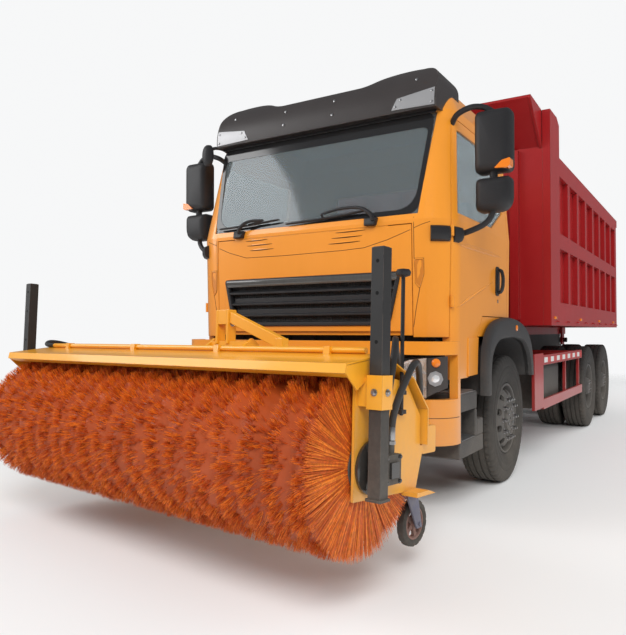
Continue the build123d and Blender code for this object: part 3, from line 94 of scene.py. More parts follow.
def buildStudio():
    world = bpy.data.worlds.new("studioWorld")
    scene.world = world
    world.use_nodes = True
    tree = world.node_tree
    tree.nodes.clear()
    out = tree.nodes.new("ShaderNodeOutputWorld")
    path = tree.nodes.new("ShaderNodeLightPath")

    def background(tone, strength=1.0):
        node = tree.nodes.new("ShaderNodeBackground")
        node.inputs["Color"].default_value = (*tone, 1)
        node.inputs["Strength"].default_value = strength
        return node.outputs[0]

    def mixed(ray, first, second):
        node = tree.nodes.new("ShaderNodeMixShader")
        for source, key in ((path.outputs[ray], "Fac"), (first, 1), (second, 2)):
            tree.links.new(source, node.inputs[key])
        return node.outputs[0]

    lit = mixed("Is Glossy Ray", background(lightSetup["skyTone"], lightSetup["sky"]),
                background(lightSetup["skyTone"], lightSetup["mirrored"]))
    tree.links.new(mixed("Is Camera Ray", lit, background(lightSetup["backdrop"])), out.inputs["Surface"])
    for name, place, aim, size, watts, mirrored in lightSetup["lamps"]:
        data = bpy.data.lights.new(name, "AREA")
        data.shape = "DISK"
        data.size = size
        data.energy = watts
        lamp = bpy.data.objects.new(name, data)
        scene.collection.objects.link(lamp)
        lamp.visible_glossy = mirrored
        lamp.location = place
        lamp.rotation_euler = (Vector(aim) - Vector(place)).to_track_quat("-Z", "Y").to_euler()
    mesh = bpy.data.meshes.new("studioFloor")
    half = lightSetup["floorHalf"]
    mesh.from_pydata([(-half, -half, 0), (half, -half, 0), (half, half, 0), (-half, half, 0)], [], [(0, 1, 2, 3)])
    floor = bpy.data.objects.new("studioFloor", mesh)
    scene.collection.objects.link(floor)
    ground = bpy.data.materials.new("paleFloor")
    ground.use_nodes = True
    shader = ground.node_tree.nodes["Principled BSDF"]
    shader.inputs["Base Color"].default_value = (*lightSetup["floorTone"], 1)
    shader.inputs["Roughness"].default_value = lightSetup["floorRough"]
    # the floor thins out into the backdrop far from the truck
    links = ground.node_tree.links
    where = ground.node_tree.nodes.new("ShaderNodeNewGeometry")
    length = ground.node_tree.nodes.new("ShaderNodeVectorMath")
    length.operation = "LENGTH"
    fade = ground.node_tree.nodes.new("ShaderNodeMapRange")
    fade.interpolation_type = "SMOOTHSTEP"
    limits = (*lightSetup["floorFade"], 1.0, 0.0)
    for key, value in zip(("From Min", "From Max", "To Min", "To Max"), limits):
        fade.inputs[key].default_value = value
    links.new(where.outputs["Position"], length.inputs[0])
    links.new(length.outputs["Value"], fade.inputs["Value"])
    links.new(fade.outputs["Result"], shader.inputs["Alpha"])
    floor.data.materials.append(ground)


placeCamera()
buildStudio()
print("studio ready")


# shared effects, each a node group placed in many finishes
def newGroup(name, inputs, outputs):
    # inputs are numbers with their values, or a colour where the value is None
    group = bpy.data.node_groups.new(name, "ShaderNodeTree")
    for label, value in inputs.items():
        kind = "NodeSocketColor" if value is None else "NodeSocketFloat"
        socket = group.interface.new_socket(name=label, in_out="INPUT", socket_type=kind)
        if value is not None:
            socket.default_value = value
    for label, kind in outputs.items():
        group.interface.new_socket(name=label, in_out="OUTPUT", socket_type="NodeSocket" + kind)
    return group, group.nodes.new("NodeGroupInput"), group.nodes.new("NodeGroupOutput")


def feed(tree, socket, value):
    if isinstance(value, (int, float, tuple)):
        socket.default_value = value
    else:
        tree.links.new(value, socket)


def mathNode(tree, operation, first, second, clamp=False):
    node = tree.nodes.new("ShaderNodeMath")
    node.operation = operation
    node.use_clamp = clamp
    feed(tree, node.inputs[0], first)
    feed(tree, node.inputs[1], second)
    return node.outputs[0]


def mixColour(tree, factor, first, second):
    # colour sockets of the mix node are the third pair
    node = tree.nodes.new("ShaderNodeMix")
    node.data_type = "RGBA"
    for place, value in ((0, factor), (6, first), (7, second)):
        feed(tree, node.inputs[place], value)
    return node.outputs[2]


def noiseNode(tree, vector, scale, detail=3.0, roughness=0.55):
    node = tree.nodes.new("ShaderNodeTexNoise")
    for key, value in (("Vector", vector), ("Scale", scale), ("Detail", detail), ("Roughness", roughness)):
        feed(tree, node.inputs[key], value)
    return node.outputs[0]


def edgeWearGroup():
    group, given, out = newGroup("edgeWear", {"Radius": 0.004, "Amount": 0.4, "Scale": 14.0},
                                 {"Mask": "Float", "Normal": "Vector"})
    bevel = group.nodes.new("ShaderNodeBevel")
    bevel.samples = 4
    group.links.new(given.outputs["Radius"], bevel.inputs["Radius"])
    shape = group.nodes.new("ShaderNodeNewGeometry")
    dot = group.nodes.new("ShaderNodeVectorMath")
    dot.operation = "DOT_PRODUCT"
    group.links.new(bevel.outputs[0], dot.inputs[0])
    group.links.new(shape.outputs["Normal"], dot.inputs[1])
    edge = mathNode(group, "SUBTRACT", 1.0, dot.outputs["Value"])
    coords = group.nodes.new("ShaderNodeTexCoord")
    patch = noiseNode(group, coords.outputs["Object"], given.outputs["Scale"], 5.0, 0.65)
    patch = mathNode(group, "SUBTRACT", patch, 0.42)
    spread = mathNode(group, "MULTIPLY", mathNode(group, "MULTIPLY", edge, patch), 60.0)
    group.links.new(mathNode(group, "MULTIPLY", spread, given.outputs["Amount"], True), out.inputs["Mask"])
    group.links.new(bevel.outputs[0], out.inputs["Normal"])
    return group


def roadDustGroup():
    # thicker near the road, broken up by noise
    group, given, out = newGroup("roadDust", {"Height": 1.2, "Amount": 0.3, "Base": 0.05}, {"Mask": "Float"})
    coords = group.nodes.new("ShaderNodeTexCoord")
    parts = group.nodes.new("ShaderNodeSeparateXYZ")
    group.links.new(coords.outputs["Object"], parts.inputs[0])
    level = mathNode(group, "DIVIDE", parts.outputs["Z"], given.outputs["Height"])
    fade = mathNode(group, "SUBTRACT", 1.0, level, True)
    cloud = noiseNode(group, coords.outputs["Object"], 3.2, 6.0, 0.62)
    speck = noiseNode(group, coords.outputs["Object"], 46.0, 3.0, 0.6)
    cover = mathNode(group, "MULTIPLY", mathNode(group, "ADD", fade, given.outputs["Base"]), given.outputs["Amount"])
    broken = mathNode(group, "MULTIPLY", cloud, mathNode(group, "ADD", speck, 0.55))
    cover = mathNode(group, "MULTIPLY", cover, broken)
    group.links.new(mathNode(group, "MULTIPLY", cover, 2.4, True), out.inputs["Mask"])
    return group


def toneGroup():
    # slow drift of tone with faint upright streaks
    group, given, out = newGroup("paintTone", {"Color": None, "Amount": 0.08, "Scale": 1.6},
                                 {"Color": "Color", "Drift": "Float"})
    coords = group.nodes.new("ShaderNodeTexCoord")
    stretch = group.nodes.new("ShaderNodeMapping")
    stretch.inputs["Scale"].default_value = (7.0, 7.0, 0.7)
    group.links.new(coords.outputs["Object"], stretch.inputs["Vector"])
    broad = noiseNode(group, coords.outputs["Object"], given.outputs["Scale"], 4.0)
    streak = noiseNode(group, stretch.outputs[0], given.outputs["Scale"], 3.0)
    both = mathNode(group, "ADD", broad, mathNode(group, "MULTIPLY", streak, 0.6))
    drift = mathNode(group, "SUBTRACT", both, 0.8)
    gain = mathNode(group, "ADD", mathNode(group, "MULTIPLY", drift, given.outputs["Amount"]), 1.0)
    scaled = group.nodes.new("ShaderNodeVectorMath")
    scaled.operation = "SCALE"
    group.links.new(given.outputs["Color"], scaled.inputs[0])
    group.links.new(gain, scaled.inputs["Scale"])
    group.links.new(scaled.outputs[0], out.inputs["Color"])
    group.links.new(drift, out.inputs["Drift"])
    return group


def grainGroup():
    group, given, out = newGroup("surfaceGrain", {"Scale": 300.0, "Waves": 5.0}, {"Height": "Float"})
    coords = group.nodes.new("ShaderNodeTexCoord")
    fine = noiseNode(group, coords.outputs["Object"], given.outputs["Scale"], 2.0)
    wave = noiseNode(group, coords.outputs["Object"], given.outputs["Waves"], 2.0)
    group.links.new(mathNode(group, "ADD", fine, wave), out.inputs["Height"])
    return group


groups = {"wear": edgeWearGroup(), "dust": roadDustGroup(), "tone": toneGroup(), "grain": grainGroup()}
print("shared effects:", len(groups))

# finishes: colour, roughness, metal, clear coat, tone drift, dust, edge wear, grain scale and depth
plainLook = dict(metal=0.0, coat=0.0, tone=0.1, toneScale=1.6, dust=0.2, wear=0.0, worn=(0.1, 0.1, 0.1), edge=0.0)
dustColour = (0.30, 0.26, 0.21, 1)
finishTable = {
    "cabPaint": dict(colour=(0.8, 0.285, 0.02), rough=0.3, coat=0.55, dust=0.22, wear=0.25, worn=(0.42, 0.17, 0.03),
        grain=(420.0, 0.01), edge=0.006),
    "bodyRed": dict(colour=(0.34, 0.008, 0.01), rough=0.38, coat=0.25, tone=0.22, dust=0.16, wear=0.55,
        worn=(0.16, 0.05, 0.035), grain=(260.0, 0.02), edge=0.006),
    "broomYellow": dict(colour=(0.84, 0.36, 0.01), rough=0.34, coat=0.4, tone=0.12, dust=0.3, wear=0.5,
        worn=(0.3, 0.16, 0.05), grain=(380.0, 0.015), edge=0.003),
    "frameBlack": dict(colour=(0.018, 0.018, 0.019), rough=0.52, tone=0.25, dust=0.32, wear=0.5,
        worn=(0.14, 0.11, 0.09), grain=(220.0, 0.03), edge=0.004),
    "castIron": dict(colour=(0.045, 0.045, 0.047), rough=0.66, metal=0.4, tone=0.3, dust=0.6, wear=0.4,
        worn=(0.15, 0.13, 0.11), grain=(160.0, 0.12), edge=0.005),
    "trimBlack": dict(colour=(0.015, 0.015, 0.017), rough=0.52, tone=0.15, dust=0.14, wear=0.2,
        worn=(0.11, 0.11, 0.11), grain=(700.0, 0.1), edge=0.006),
    "visorGrey": dict(colour=(0.034, 0.029, 0.029), rough=0.42, tone=0.2, dust=0.22, wear=0.2, worn=(0.2, 0.18, 0.16),
        grain=(600.0, 0.05), edge=0.012),
    "archGrey": dict(colour=(0.032, 0.032, 0.034), rough=0.6, tone=0.2, dust=0.28, wear=0.3, worn=(0.17, 0.16, 0.15),
        grain=(650.0, 0.12), edge=0.008),
    "tyreRubber": dict(colour=(0.013, 0.013, 0.014), rough=0.78, tone=0.3, wear=0.1, worn=(0.08, 0.075, 0.07),
        grain=(240.0, 0.1), edge=0.003),
    "rimGrey": dict(colour=(0.07, 0.072, 0.076), rough=0.46, metal=0.35, tone=0.25, dust=0.4, wear=0.35,
        worn=(0.22, 0.19, 0.16), grain=(240.0, 0.04), edge=0.004),
    "bareSteel": dict(colour=(0.5, 0.5, 0.51), rough=0.34, metal=1.0, tone=0.15, dust=0.25, wear=0.2,
        worn=(0.28, 0.24, 0.2), grain=(500.0, 0.03), edge=0.001),
    "ramChrome": dict(colour=(0.62, 0.62, 0.64), rough=0.14, metal=1.0, tone=0.05, dust=0.1, grain=(500.0, 0.005),
        edge=0.001),
    "treadAlloy": dict(colour=(0.42, 0.43, 0.44), rough=0.42, metal=0.9, tone=0.2, dust=0.4, wear=0.2,
        worn=(0.6, 0.6, 0.6), grain=(300.0, 0.05), edge=0.001),
    # bristlePaintedShade: bristle orange darkened, painted shade down among the bristles of the wafers
    "bristlePaintedShade": dict(colour=(0.4, 0.06, 0.004), rough=0.62, tone=0.7, dust=0.12, grain=(900.0, 0.05)),
    "bristleStraw": dict(colour=(0.84, 0.205, 0.01), rough=0.55, tone=1.3, toneScale=60.0, dust=0.1,
        grain=(900.0, 0.02)),
    "hoseRubber": dict(colour=(0.018, 0.018, 0.019), rough=0.46, tone=0.15, grain=(700.0, 0.05)),
    "forkBlue": dict(colour=(0.02, 0.045, 0.16), rough=0.4, coat=0.2, tone=0.2, dust=0.4, wear=0.6,
        worn=(0.15, 0.12, 0.1), grain=(300.0, 0.02), edge=0.002),
    "hubRed": dict(colour=(0.2, 0.01, 0.01), rough=0.5, tone=0.2, dust=0.5, wear=0.3, worn=(0.2, 0.1, 0.08),
        grain=(300.0, 0.04), edge=0.002),
    "dashGrey": dict(colour=(0.085, 0.088, 0.095), rough=0.7, tone=0.12, dust=0.0, grain=(900.0, 0.15), edge=0.01),
    "tapeRed": dict(colour=(0.55, 0.012, 0.012), rough=0.3, dust=0.4, grain=(900.0, 0.03)),
    "tapeWhite": dict(colour=(0.72, 0.72, 0.7), rough=0.3, dust=0.4, grain=(900.0, 0.03)),
    "plateSilver": dict(colour=(0.4, 0.4, 0.41), rough=0.38, metal=0.5, tone=0.12, wear=0.1, worn=(0.25, 0.25, 0.25),
        grain=(500.0, 0.02), edge=0.002),
    "glossBlack": dict(colour=(0.012, 0.012, 0.013), rough=0.12, coat=0.5, dust=0.12, grain=(300.0, 0.004),
        edge=0.002),
    # seamDarkAndSlotShade: dark panel joints, and the dark strips under the louvre lips that paint the shade in the
    # louvre openings
    "seamDarkAndSlotShade": dict(colour=(0.06, 0.022, 0.006), rough=0.7, grain=(300.0, 0.01)),
    # cabPaintedShade: cab orange darkened, painted shade on the floors of the shallow corner recesses
    "cabPaintedShade": dict(colour=(0.56, 0.185, 0.014), rough=0.45, dust=0.3, grain=(420.0, 0.01)),
    # holePaintedShade: near-black discs for the leg holes, painted shade in place of real openings
    "holePaintedShade": dict(colour=(0.004, 0.004, 0.004), rough=0.9, tone=0.0, dust=0.0, grain=(300.0, 0.01)),
    "bristleDark": dict(colour=(0.56, 0.09, 0.006), rough=0.6, tone=1.2, toneScale=60.0, dust=0.05,
        grain=(900.0, 0.02)),
    "stripGrey": dict(colour=(0.075, 0.074, 0.07), rough=0.12, coat=0.6, tone=0.5, toneScale=9.0, dust=0.05,
        grain=(40.0, 0.01)),
    "amberLens": dict(colour=(0.78, 0.2, 0.01), rough=0.16, coat=0.6, dust=0.1, grain=(160.0, 0.1), edge=0.002),
    "redLens": dict(colour=(0.42, 0.008, 0.008), rough=0.16, coat=0.6, grain=(160.0, 0.1), edge=0.002),
    "mirrorFace": dict(colour=(0.8, 0.81, 0.82), rough=0.03, metal=1.0, tone=0.0, dust=0.05, grain=(200.0, 0.001)),
    "lampMirror": dict(colour=(0.8, 0.81, 0.82), rough=0.22, metal=0.45, dust=0.0, grain=(60.0, 0.05)),
}


def makeFinish(name, look):
    look = {**plainLook, **look}
    grainScale, grainDepth = look["grain"]
    finish = bpy.data.materials.new(name)
    finish.use_nodes = True
    tree = finish.node_tree
    shader = tree.nodes["Principled BSDF"]
    for key, value in (("Coat Weight", look["coat"]), ("Coat Roughness", 0.08), ("Metallic", look["metal"])):
        shader.inputs[key].default_value = value
    placed = {}
    for key in groups:
        placed[key] = tree.nodes.new("ShaderNodeGroup")
        placed[key].node_tree = groups[key]
    tone, dust, wear, grain = (placed[key] for key in ("tone", "dust", "wear", "grain"))
    for group, key, value in ((tone, "Color", (*look["colour"], 1)), (tone, "Amount", look["tone"]),
                              (tone, "Scale", look["toneScale"]), (dust, "Amount", look["dust"]),
                              (wear, "Amount", look["wear"]), (wear, "Radius", look["edge"]),
                              (grain, "Scale", grainScale)):
        group.inputs[key].default_value = value
    worn = mixColour(tree, wear.outputs["Mask"], tone.outputs["Color"], (*look["worn"], 1))
    tree.links.new(mixColour(tree, dust.outputs["Mask"], worn, dustColour), shader.inputs["Base Color"])
    rough = mathNode(tree, "ADD", mathNode(tree, "MULTIPLY", dust.outputs["Mask"], 0.35), look["rough"])
    drift = mathNode(tree, "MULTIPLY", tone.outputs["Drift"], 0.10)
    tree.links.new(mathNode(tree, "ADD", rough, drift, True), shader.inputs["Roughness"])
    bump = tree.nodes.new("ShaderNodeBump")
    bump.inputs["Strength"].default_value = 0.6
    bump.inputs["Distance"].default_value = grainDepth * 0.01
    tree.links.new(grain.outputs["Height"], bump.inputs["Height"])
    if look["edge"] > 0:
        tree.links.new(wear.outputs["Normal"], bump.inputs["Normal"])
    tree.links.new(bump.outputs["Normal"], shader.inputs["Normal"])
    return finish


def makeGlass(name, tint, rough, transmission):
    finish = bpy.data.materials.new(name)
    finish.use_nodes = True
    tree = finish.node_tree
    shader = tree.nodes["Principled BSDF"]
    for key, value in (("Base Color", (*tint, 1)), ("Metallic", 0.0), ("IOR", 1.45),
                       ("Transmission Weight", transmission)):
        shader.inputs[key].default_value = value
    dust = tree.nodes.new("ShaderNodeGroup")
    dust.node_tree = groups["dust"]
    dust.inputs["Amount"].default_value = 0.12
    dust.inputs["Base"].default_value = 0.4
    haze = mathNode(tree, "MULTIPLY", dust.outputs["Mask"], 0.5)
    tree.links.new(mathNode(tree, "ADD", haze, rough, True), shader.inputs["Roughness"])
    return finish


finishes = {name: makeFinish(name, look) for name, look in finishTable.items()}
finishes["cabGlass"] = makeGlass("cabGlass", (0.42, 0.50, 0.53), 0.03, 0.82)
finishes["lampGlass"] = makeGlass("lampGlass", (0.92, 0.94, 0.95), 0.02, 0.95)
print("finishes:", len(finishes))

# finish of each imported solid
nodeFinish = {
    "cabPaint": ("cab_shell", "front_flap", "front_bumper", "door_left", "door_right"),
    "bodyRed": ("bed_floor", "bed_sides", "bed_front", "tailgate", "side_guards"),
    "broomYellow": ("broom_frame", "broom_hood", "hitch_frame", "lift_frame"),
    "frameBlack": ("chassis_frame", "hoist_barrel", "lift_barrel", "leg_left", "leg_right", "tanks"),
    "castIron": ("axles", "knuckle_left", "knuckle_right", "engine_block", "motors"),
    "archGrey": ("front_arches",),
    "visorGrey": ("roof_visor",),
    "trimBlack": ("mirror_left", "mirror_right", "grille"),
    "dashGrey": ("cab_interior",),
    "cabGlass": ("cab_glass", "door_glass_left", "door_glass_right"),
    "ramChrome": ("hoist_stage_1", "hoist_stage_2", "hoist_stage_3", "hoist_stage_4", "lift_rod"),
    "forkBlue": ("caster_fork_left", "caster_fork_right"),
    "hubRed": ("caster_wheel_left", "caster_wheel_right"),
    "bristlePaintedShade": ("brush",),
    "rimGrey": tuple(name for name in nodes if name.startswith("rim_")),
    "tyreRubber": tuple(name for name in nodes if name.startswith("tyre_")),
    "lampMirror": ("headlamps",),
    "hoseRubber": ("hose_pressure", "hose_return", "hose_far"),
}
for finishName, names in nodeFinish.items():
    for name in names:
        nodes[name].data.materials.clear()
        nodes[name].data.materials.append(finishes[finishName])
print("solids dressed")


# left is +x; places: the truck's own middle and front axle, and the broom's slewing pin
sides = (("left", 1), ("right", -1))


def axesPlace(origin, across, back, up):
    place = Matrix((across, back, up)).transposed().to_4x4()
    place.translation = origin
    return place


truckPlace = Matrix.Translation((0.12, -1.567, 0.0))
broomUp = Vector(joints["broom_yaw"]["axis"]).normalized()
broomAcross = Vector(joints["brush_spin"]["axis"]).normalized()
if broomAcross.x < 0:
    broomAcross = -broomAcross
broomPlace = axesPlace(Vector(joints["broom_yaw"]["pos_m"]), broomAcross, broomUp.cross(broomAcross), broomUp)
brushCentre = (0.0, -0.919, 0.158)  # brush axis in the broom's place
brushPlace = broomPlace @ Matrix.Translation(brushCentre)

# hydraulic hoses, as control points in the broom's place
hoseSetup = {
    "radius": 0.017,
    "routes": {
        "hose_pressure": (1.167, (
            (1.546, -0.909, 0.263), (1.546, -0.909, 0.373), (1.556, -0.888, 0.510), (1.548, -0.842, 0.635),
            (1.512, -0.770, 0.725), (1.455, -0.680, 0.755), (1.400, -0.590, 0.715), (1.358, -0.500, 0.625),
            (1.336, -0.432, 0.520), (1.330, -0.389, 0.418), (1.330, -0.389, 0.338))),
        "hose_return": (0.924, (
            (1.546, -0.849, 0.263), (1.546, -0.849, 0.358), (1.562, -0.822, 0.465), (1.572, -0.762, 0.562),
            (1.558, -0.680, 0.628), (1.525, -0.588, 0.640), (1.485, -0.500, 0.598), (1.450, -0.432, 0.520),
            (1.430, -0.389, 0.433), (1.430, -0.389, 0.338))),
        "hose_far": (0.942, (
            (-1.420, -0.879, 0.686), (-1.500, -0.879, 0.686), (-1.575, -0.862, 0.695), (-1.632, -0.812, 0.712),
            (-1.655, -0.738, 0.712), (-1.640, -0.658, 0.697), (-1.590, -0.572, 0.668), (-1.510, -0.494, 0.612),
            (-1.448, -0.438, 0.538), (-1.410, -0.389, 0.433), (-1.410, -0.389, 0.338))),
    },
}
for node, (length, route) in hoseSetup["routes"].items():
    curve = bpy.data.curves.new(node + "_line", "CURVE")
    curve.dimensions = "3D"
    curve.bevel_depth = hoseSetup["radius"]
    curve.bevel_resolution = 5
    curve.use_fill_caps = True
    curve.resolution_u = 10
    spline = curve.splines.new("NURBS")
    spline.points.add(len(route) - 1)
    for point, spot in zip(spline.points, route):
        point.co = (*(broomPlace @ Vector(spot)), 1)
    spline.order_u = 3
    spline.use_endpoint_u = True
    hose = bpy.data.objects.new(node + "_line", curve)
    scene.collection.objects.link(hose)
    curve.materials.append(finishes["hoseRubber"])
    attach(hose, "broom")
    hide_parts(node)
print("hoses:", len(hoseSetup["routes"]))


# mesh helpers, each adding to a bmesh in the piece's own place
def block(bm, x, y, z):
    corners = [bm.verts.new((a, b, c)) for a in x for b in y for c in z]
    for face in ((0, 1, 3, 2), (4, 6, 7, 5), (0, 4, 5, 1), (2, 3, 7, 6), (0, 2, 6, 4), (1, 5, 7, 3)):
        bm.faces.new([corners[k] for k in face])


def ringAt(bm, centre, side, up, radius, steps):
    angles = [k * math.tau / steps for k in range(steps)]
    return [bm.verts.new(centre + (side * math.cos(a) + up * math.sin(a)) * radius) for a in angles]


def skin(bm, rings, closed=True):
    for near, far in zip(rings, rings[1:]):
        count = len(near)
        for k in range(count if closed else count - 1):
            bm.faces.new((near[k], near[(k + 1) % count], far[(k + 1) % count], far[k]))


def tube(bm, points, radius, steps=12):
    # round bar along the points without twist; radius is one number or one for each point
    points = [Vector(point) for point in points]
    radii = radius if isinstance(radius, (list, tuple)) else [radius] * len(points)
    ahead = (points[1] - points[0]).normalized()
    side = ahead.orthogonal().normalized()
    rings = []
    for k, point in enumerate(points):
        run = (points[min(k + 1, len(points) - 1)] - points[max(k - 1, 0)]).normalized()
        side = (side - run * side.dot(run)).normalized()
        rings.append(ringAt(bm, point, side, run.cross(side), radii[k], steps))
    skin(bm, rings)
    bm.faces.new(rings[0])
    bm.faces.new(rings[-1])


def bend(points, steps=6):
    # Catmull-Rom points through the given ones
    points = [Vector(point) for point in points]
    ends = [2 * points[0] - points[1], *points, 2 * points[-1] - points[-2]]
    line = []
    for a, b, c, d in zip(ends, ends[1:], ends[2:], ends[3:]):
        for k in range(steps):
            t = k / steps
            line.append(0.5 * (2 * b + (c - a) * t + (2 * a - 5 * b + 4 * c - d) * t * t
                               + (3 * b - 3 * c + d - a) * t ** 3))
    return line + [points[-1]]


def turned(bm, profile, steps, centre=(0, 0, 0), shape=None):
    # profile of (x, radius) turned about the x axis; shape may move a point by its step and row
    rings = []
    for j, (x, radius) in enumerate(profile):
        ring = []
        for k in range(steps):
            dx, dr = shape(k, j) if shape else (0.0, 0.0)
            angle = k * math.tau / steps
            ring.append(bm.verts.new((centre[0] + x + dx, centre[1] + (radius + dr) * math.cos(angle),
                                      centre[2] + (radius + dr) * math.sin(angle))))
        rings.append(ring)
    skin(bm, rings)
    return rings


def prism(bm, outline, axis, low, high):
    # outline of two coordinates drawn out along the third axis
    def spot(point, depth):
        a, b = point
        return {"x": (depth, a, b), "y": (a, depth, b), "z": (a, b, depth)}[axis]
    near = [bm.verts.new(spot(point, low)) for point in outline]
    far = [bm.verts.new(spot(point, high)) for point in outline]
    skin(bm, [near, far])
    bm.faces.new(near)
    bm.faces.new(far)


def spoke(angle):
    return Vector((0, math.cos(angle), math.sin(angle)))


def pair(side, near, far):
    # two distances from the middle, as low and high x on this side
    return sorted((side * near, side * far))


def addPiece(name, bm, finish, body="chassis", slot="trim_black", place=truckPlace, bevel=0.0, smooth=38,
             replaced=(), keepNormals=False):
    bm.transform(place)
    if not keepNormals:
        bmesh.ops.recalc_face_normals(bm, faces=bm.faces)
    mesh = bpy.data.meshes.new(name)
    bm.to_mesh(mesh)
    bm.free()
    mesh.shade_smooth()
    mesh.set_sharp_from_angle(angle=math.radians(smooth))
    piece = bpy.data.objects.new(name, mesh)
    scene.collection.objects.link(piece)
    mesh.materials.append(finishes[finish])
    if bevel:
        soft = piece.modifiers.new("softEdges", "BEVEL")
        soft.width = bevel
        soft.segments = 2
        soft.limit_method = "ANGLE"
        soft.angle_limit = math.radians(smooth)
        soft.harden_normals = True
    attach(piece, body)
    if replaced:
        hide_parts(*replaced)
    return piece


# tyres: rounded casing with ribbed sidewall, four grooves and notched shoulders
tyreSetup = {
    "radius": 0.542,
    "pitches": 52,
    "stepsPerPitch": 4,
    "notchDepth": 0.011,
    # half profile from the bead out to the middle of the tread: distance from the middle, radius
    "profile": (
        (0.112, 0.3005), (0.121, 0.306), (0.126, 0.318), (0.131, 0.336), (0.139, 0.368), (0.143, 0.392),
        (0.1415, 0.396), (0.1445, 0.402), (0.145, 0.425), (0.1445, 0.446), (0.142, 0.449), (0.1435, 0.455),
        (0.140, 0.480), (0.136, 0.503), (0.131, 0.520), (0.124, 0.533), (0.113, 0.5395), (0.088, 0.5412),
        (0.087, 0.529), (0.073, 0.529), (0.072, 0.5416), (0.036, 0.542), (0.035, 0.529), (0.022, 0.529),
        (0.021, 0.542)),
    "shoulder": (13, 17),  # profile points that the notches sink
}
wheelTable = (
    # axle, tyre middles from the truck's middle, distance behind the front axle
    ("front", (1.020,), 0.0),
    ("rear_1", (0.745, 1.085), 3.825),
    ("rear_2", (0.745, 1.085), 5.175),
)


def tyreInto(bm, side, middle, behind):
    half = tyreSetup["profile"]
    profile = [*half] + [(-x, r) for x, r in reversed(half)]
    last = len(profile) - 1
    low, high = tyreSetup["shoulder"]

    def notch(k, j):
        place = min(j, last - j)
        phase = k if j <= last - j else k + 2
        cut = phase % tyreSetup["stepsPerPitch"] < 1 and low <= place <= high
        return (0.0, -tyreSetup["notchDepth"] if cut else 0.0)

    rings = turned(bm, profile, tyreSetup["pitches"] * tyreSetup["stepsPerPitch"],
                   (side * middle, behind, tyreSetup["radius"]), notch)
    skin(bm, [rings[-1], rings[0]])


for axle, middles, behind in wheelTable:
    for sideName, side in sides:
        wheel = axle + "_" + sideName
        bm = bmesh.new()
        for middle in middles:
            tyreInto(bm, side, middle, behind)
        addPiece("tyre_" + wheel + "_tread", bm, "tyreRubber", "wheel_" + wheel, "tyre", smooth=50,
                 replaced=("tyre_" + wheel,))
print("tyres ready")

# disc wheels: closed turned section, ten hand holes, studs and a hub cap
wheelSetup = {
    "holes": 10,
    "holeRing": 0.224,
    "holeRadius": 0.029,
    "studRing": 0.1675,
    "steps": 96,
    # x from the outer tyre's middle, radius, all round the section
    "front": (
        (-0.118, 0.299), (0.114, 0.299), (0.121, 0.2985), (0.126, 0.292), (0.124, 0.283), (0.112, 0.277),
        (0.082, 0.271), (0.070, 0.266), (0.074, 0.258), (0.096, 0.250), (0.116, 0.236), (0.131, 0.214),
        (0.139, 0.193), (0.141, 0.188), (0.141, 0.142), (0.136, 0.136), (0.134, 0.120), (0.137, 0.116),
        (0.152, 0.110), (0.158, 0.098), (0.160, 0.060), (0.1565, 0.056), (0.1565, 0.012), (0.110, 0.012),
        (0.108, 0.130), (0.112, 0.190), (0.090, 0.236), (0.058, 0.256), (0.040, 0.268), (-0.118, 0.276)),
    "rear": (
        (-0.458, 0.299), (0.114, 0.299), (0.121, 0.2985), (0.126, 0.292), (0.124, 0.283), (0.112, 0.277),
        (0.060, 0.270), (0.030, 0.266), (0.012, 0.258), (0.003, 0.244), (0.000, 0.220), (-0.004, 0.196),
        (-0.005, 0.190), (-0.005, 0.140), (0.002, 0.128), (0.060, 0.120), (0.096, 0.114), (0.112, 0.106),
        (0.116, 0.104), (0.126, 0.100), (0.132, 0.090), (0.137, 0.060), (0.134, 0.056), (0.134, 0.012),
        (-0.030, 0.012), (-0.030, 0.150), (-0.028, 0.230), (-0.040, 0.262), (-0.060, 0.270), (-0.458, 0.276)),
    "studSeat": {"front": 0.141, "rear": -0.005},
    "studs": 10,
    # washer, nut and thread: lifts off the seat, radii, sides
    "studShape": (
        ((-0.002, 0.003, 0.0031), (0.0215, 0.0215, 0.014), 20),
        ((0.002, 0.025, 0.028), (0.0165, 0.0165, 0.013), 6),
        ((0.02, 0.040, 0.042), (0.0095, 0.0095, 0.007), 10)),
    "hubFace": {"front": 0.1555, "rear": 0.133},
    "hubBolts": 6,
    "hubRing": 0.078,
}


def wheelMesh(kind):
    bm = bmesh.new()
    rings = turned(bm, wheelSetup[kind], wheelSetup["steps"])
    skin(bm, [rings[-1], rings[0]])
    bmesh.ops.recalc_face_normals(bm, faces=bm.faces)
    body = bpy.data.meshes.new("wheelBlank")
    bm.to_mesh(body)
    bm.free()
    cutter = bmesh.new()
    for k in range(wheelSetup["holes"]):
        middle = spoke((k + 0.5) * math.tau / wheelSetup["holes"]) * wheelSetup["holeRing"]
        tube(cutter, [middle + Vector((x, 0, 0)) for x in (-0.09, 0.2)], wheelSetup["holeRadius"], 20)
    bmesh.ops.recalc_face_normals(cutter, faces=cutter.faces)
    cutMesh = bpy.data.meshes.new("holeCutter")
    cutter.to_mesh(cutMesh)
    cutter.free()
    blank = bpy.data.objects.new("wheelBlank", body)
    tool = bpy.data.objects.new("holeCutter", cutMesh)
    for thing in (blank, tool):
        scene.collection.objects.link(thing)
    cut = blank.modifiers.new("handHoles", "BOOLEAN")
    cut.object = tool
    cut.solver = "EXACT"
    result = bpy.data.meshes.new_from_object(blank.evaluated_get(bpy.context.evaluated_depsgraph_get()))
    for thing in (blank, tool):
        bpy.data.objects.remove(thing)
    return result


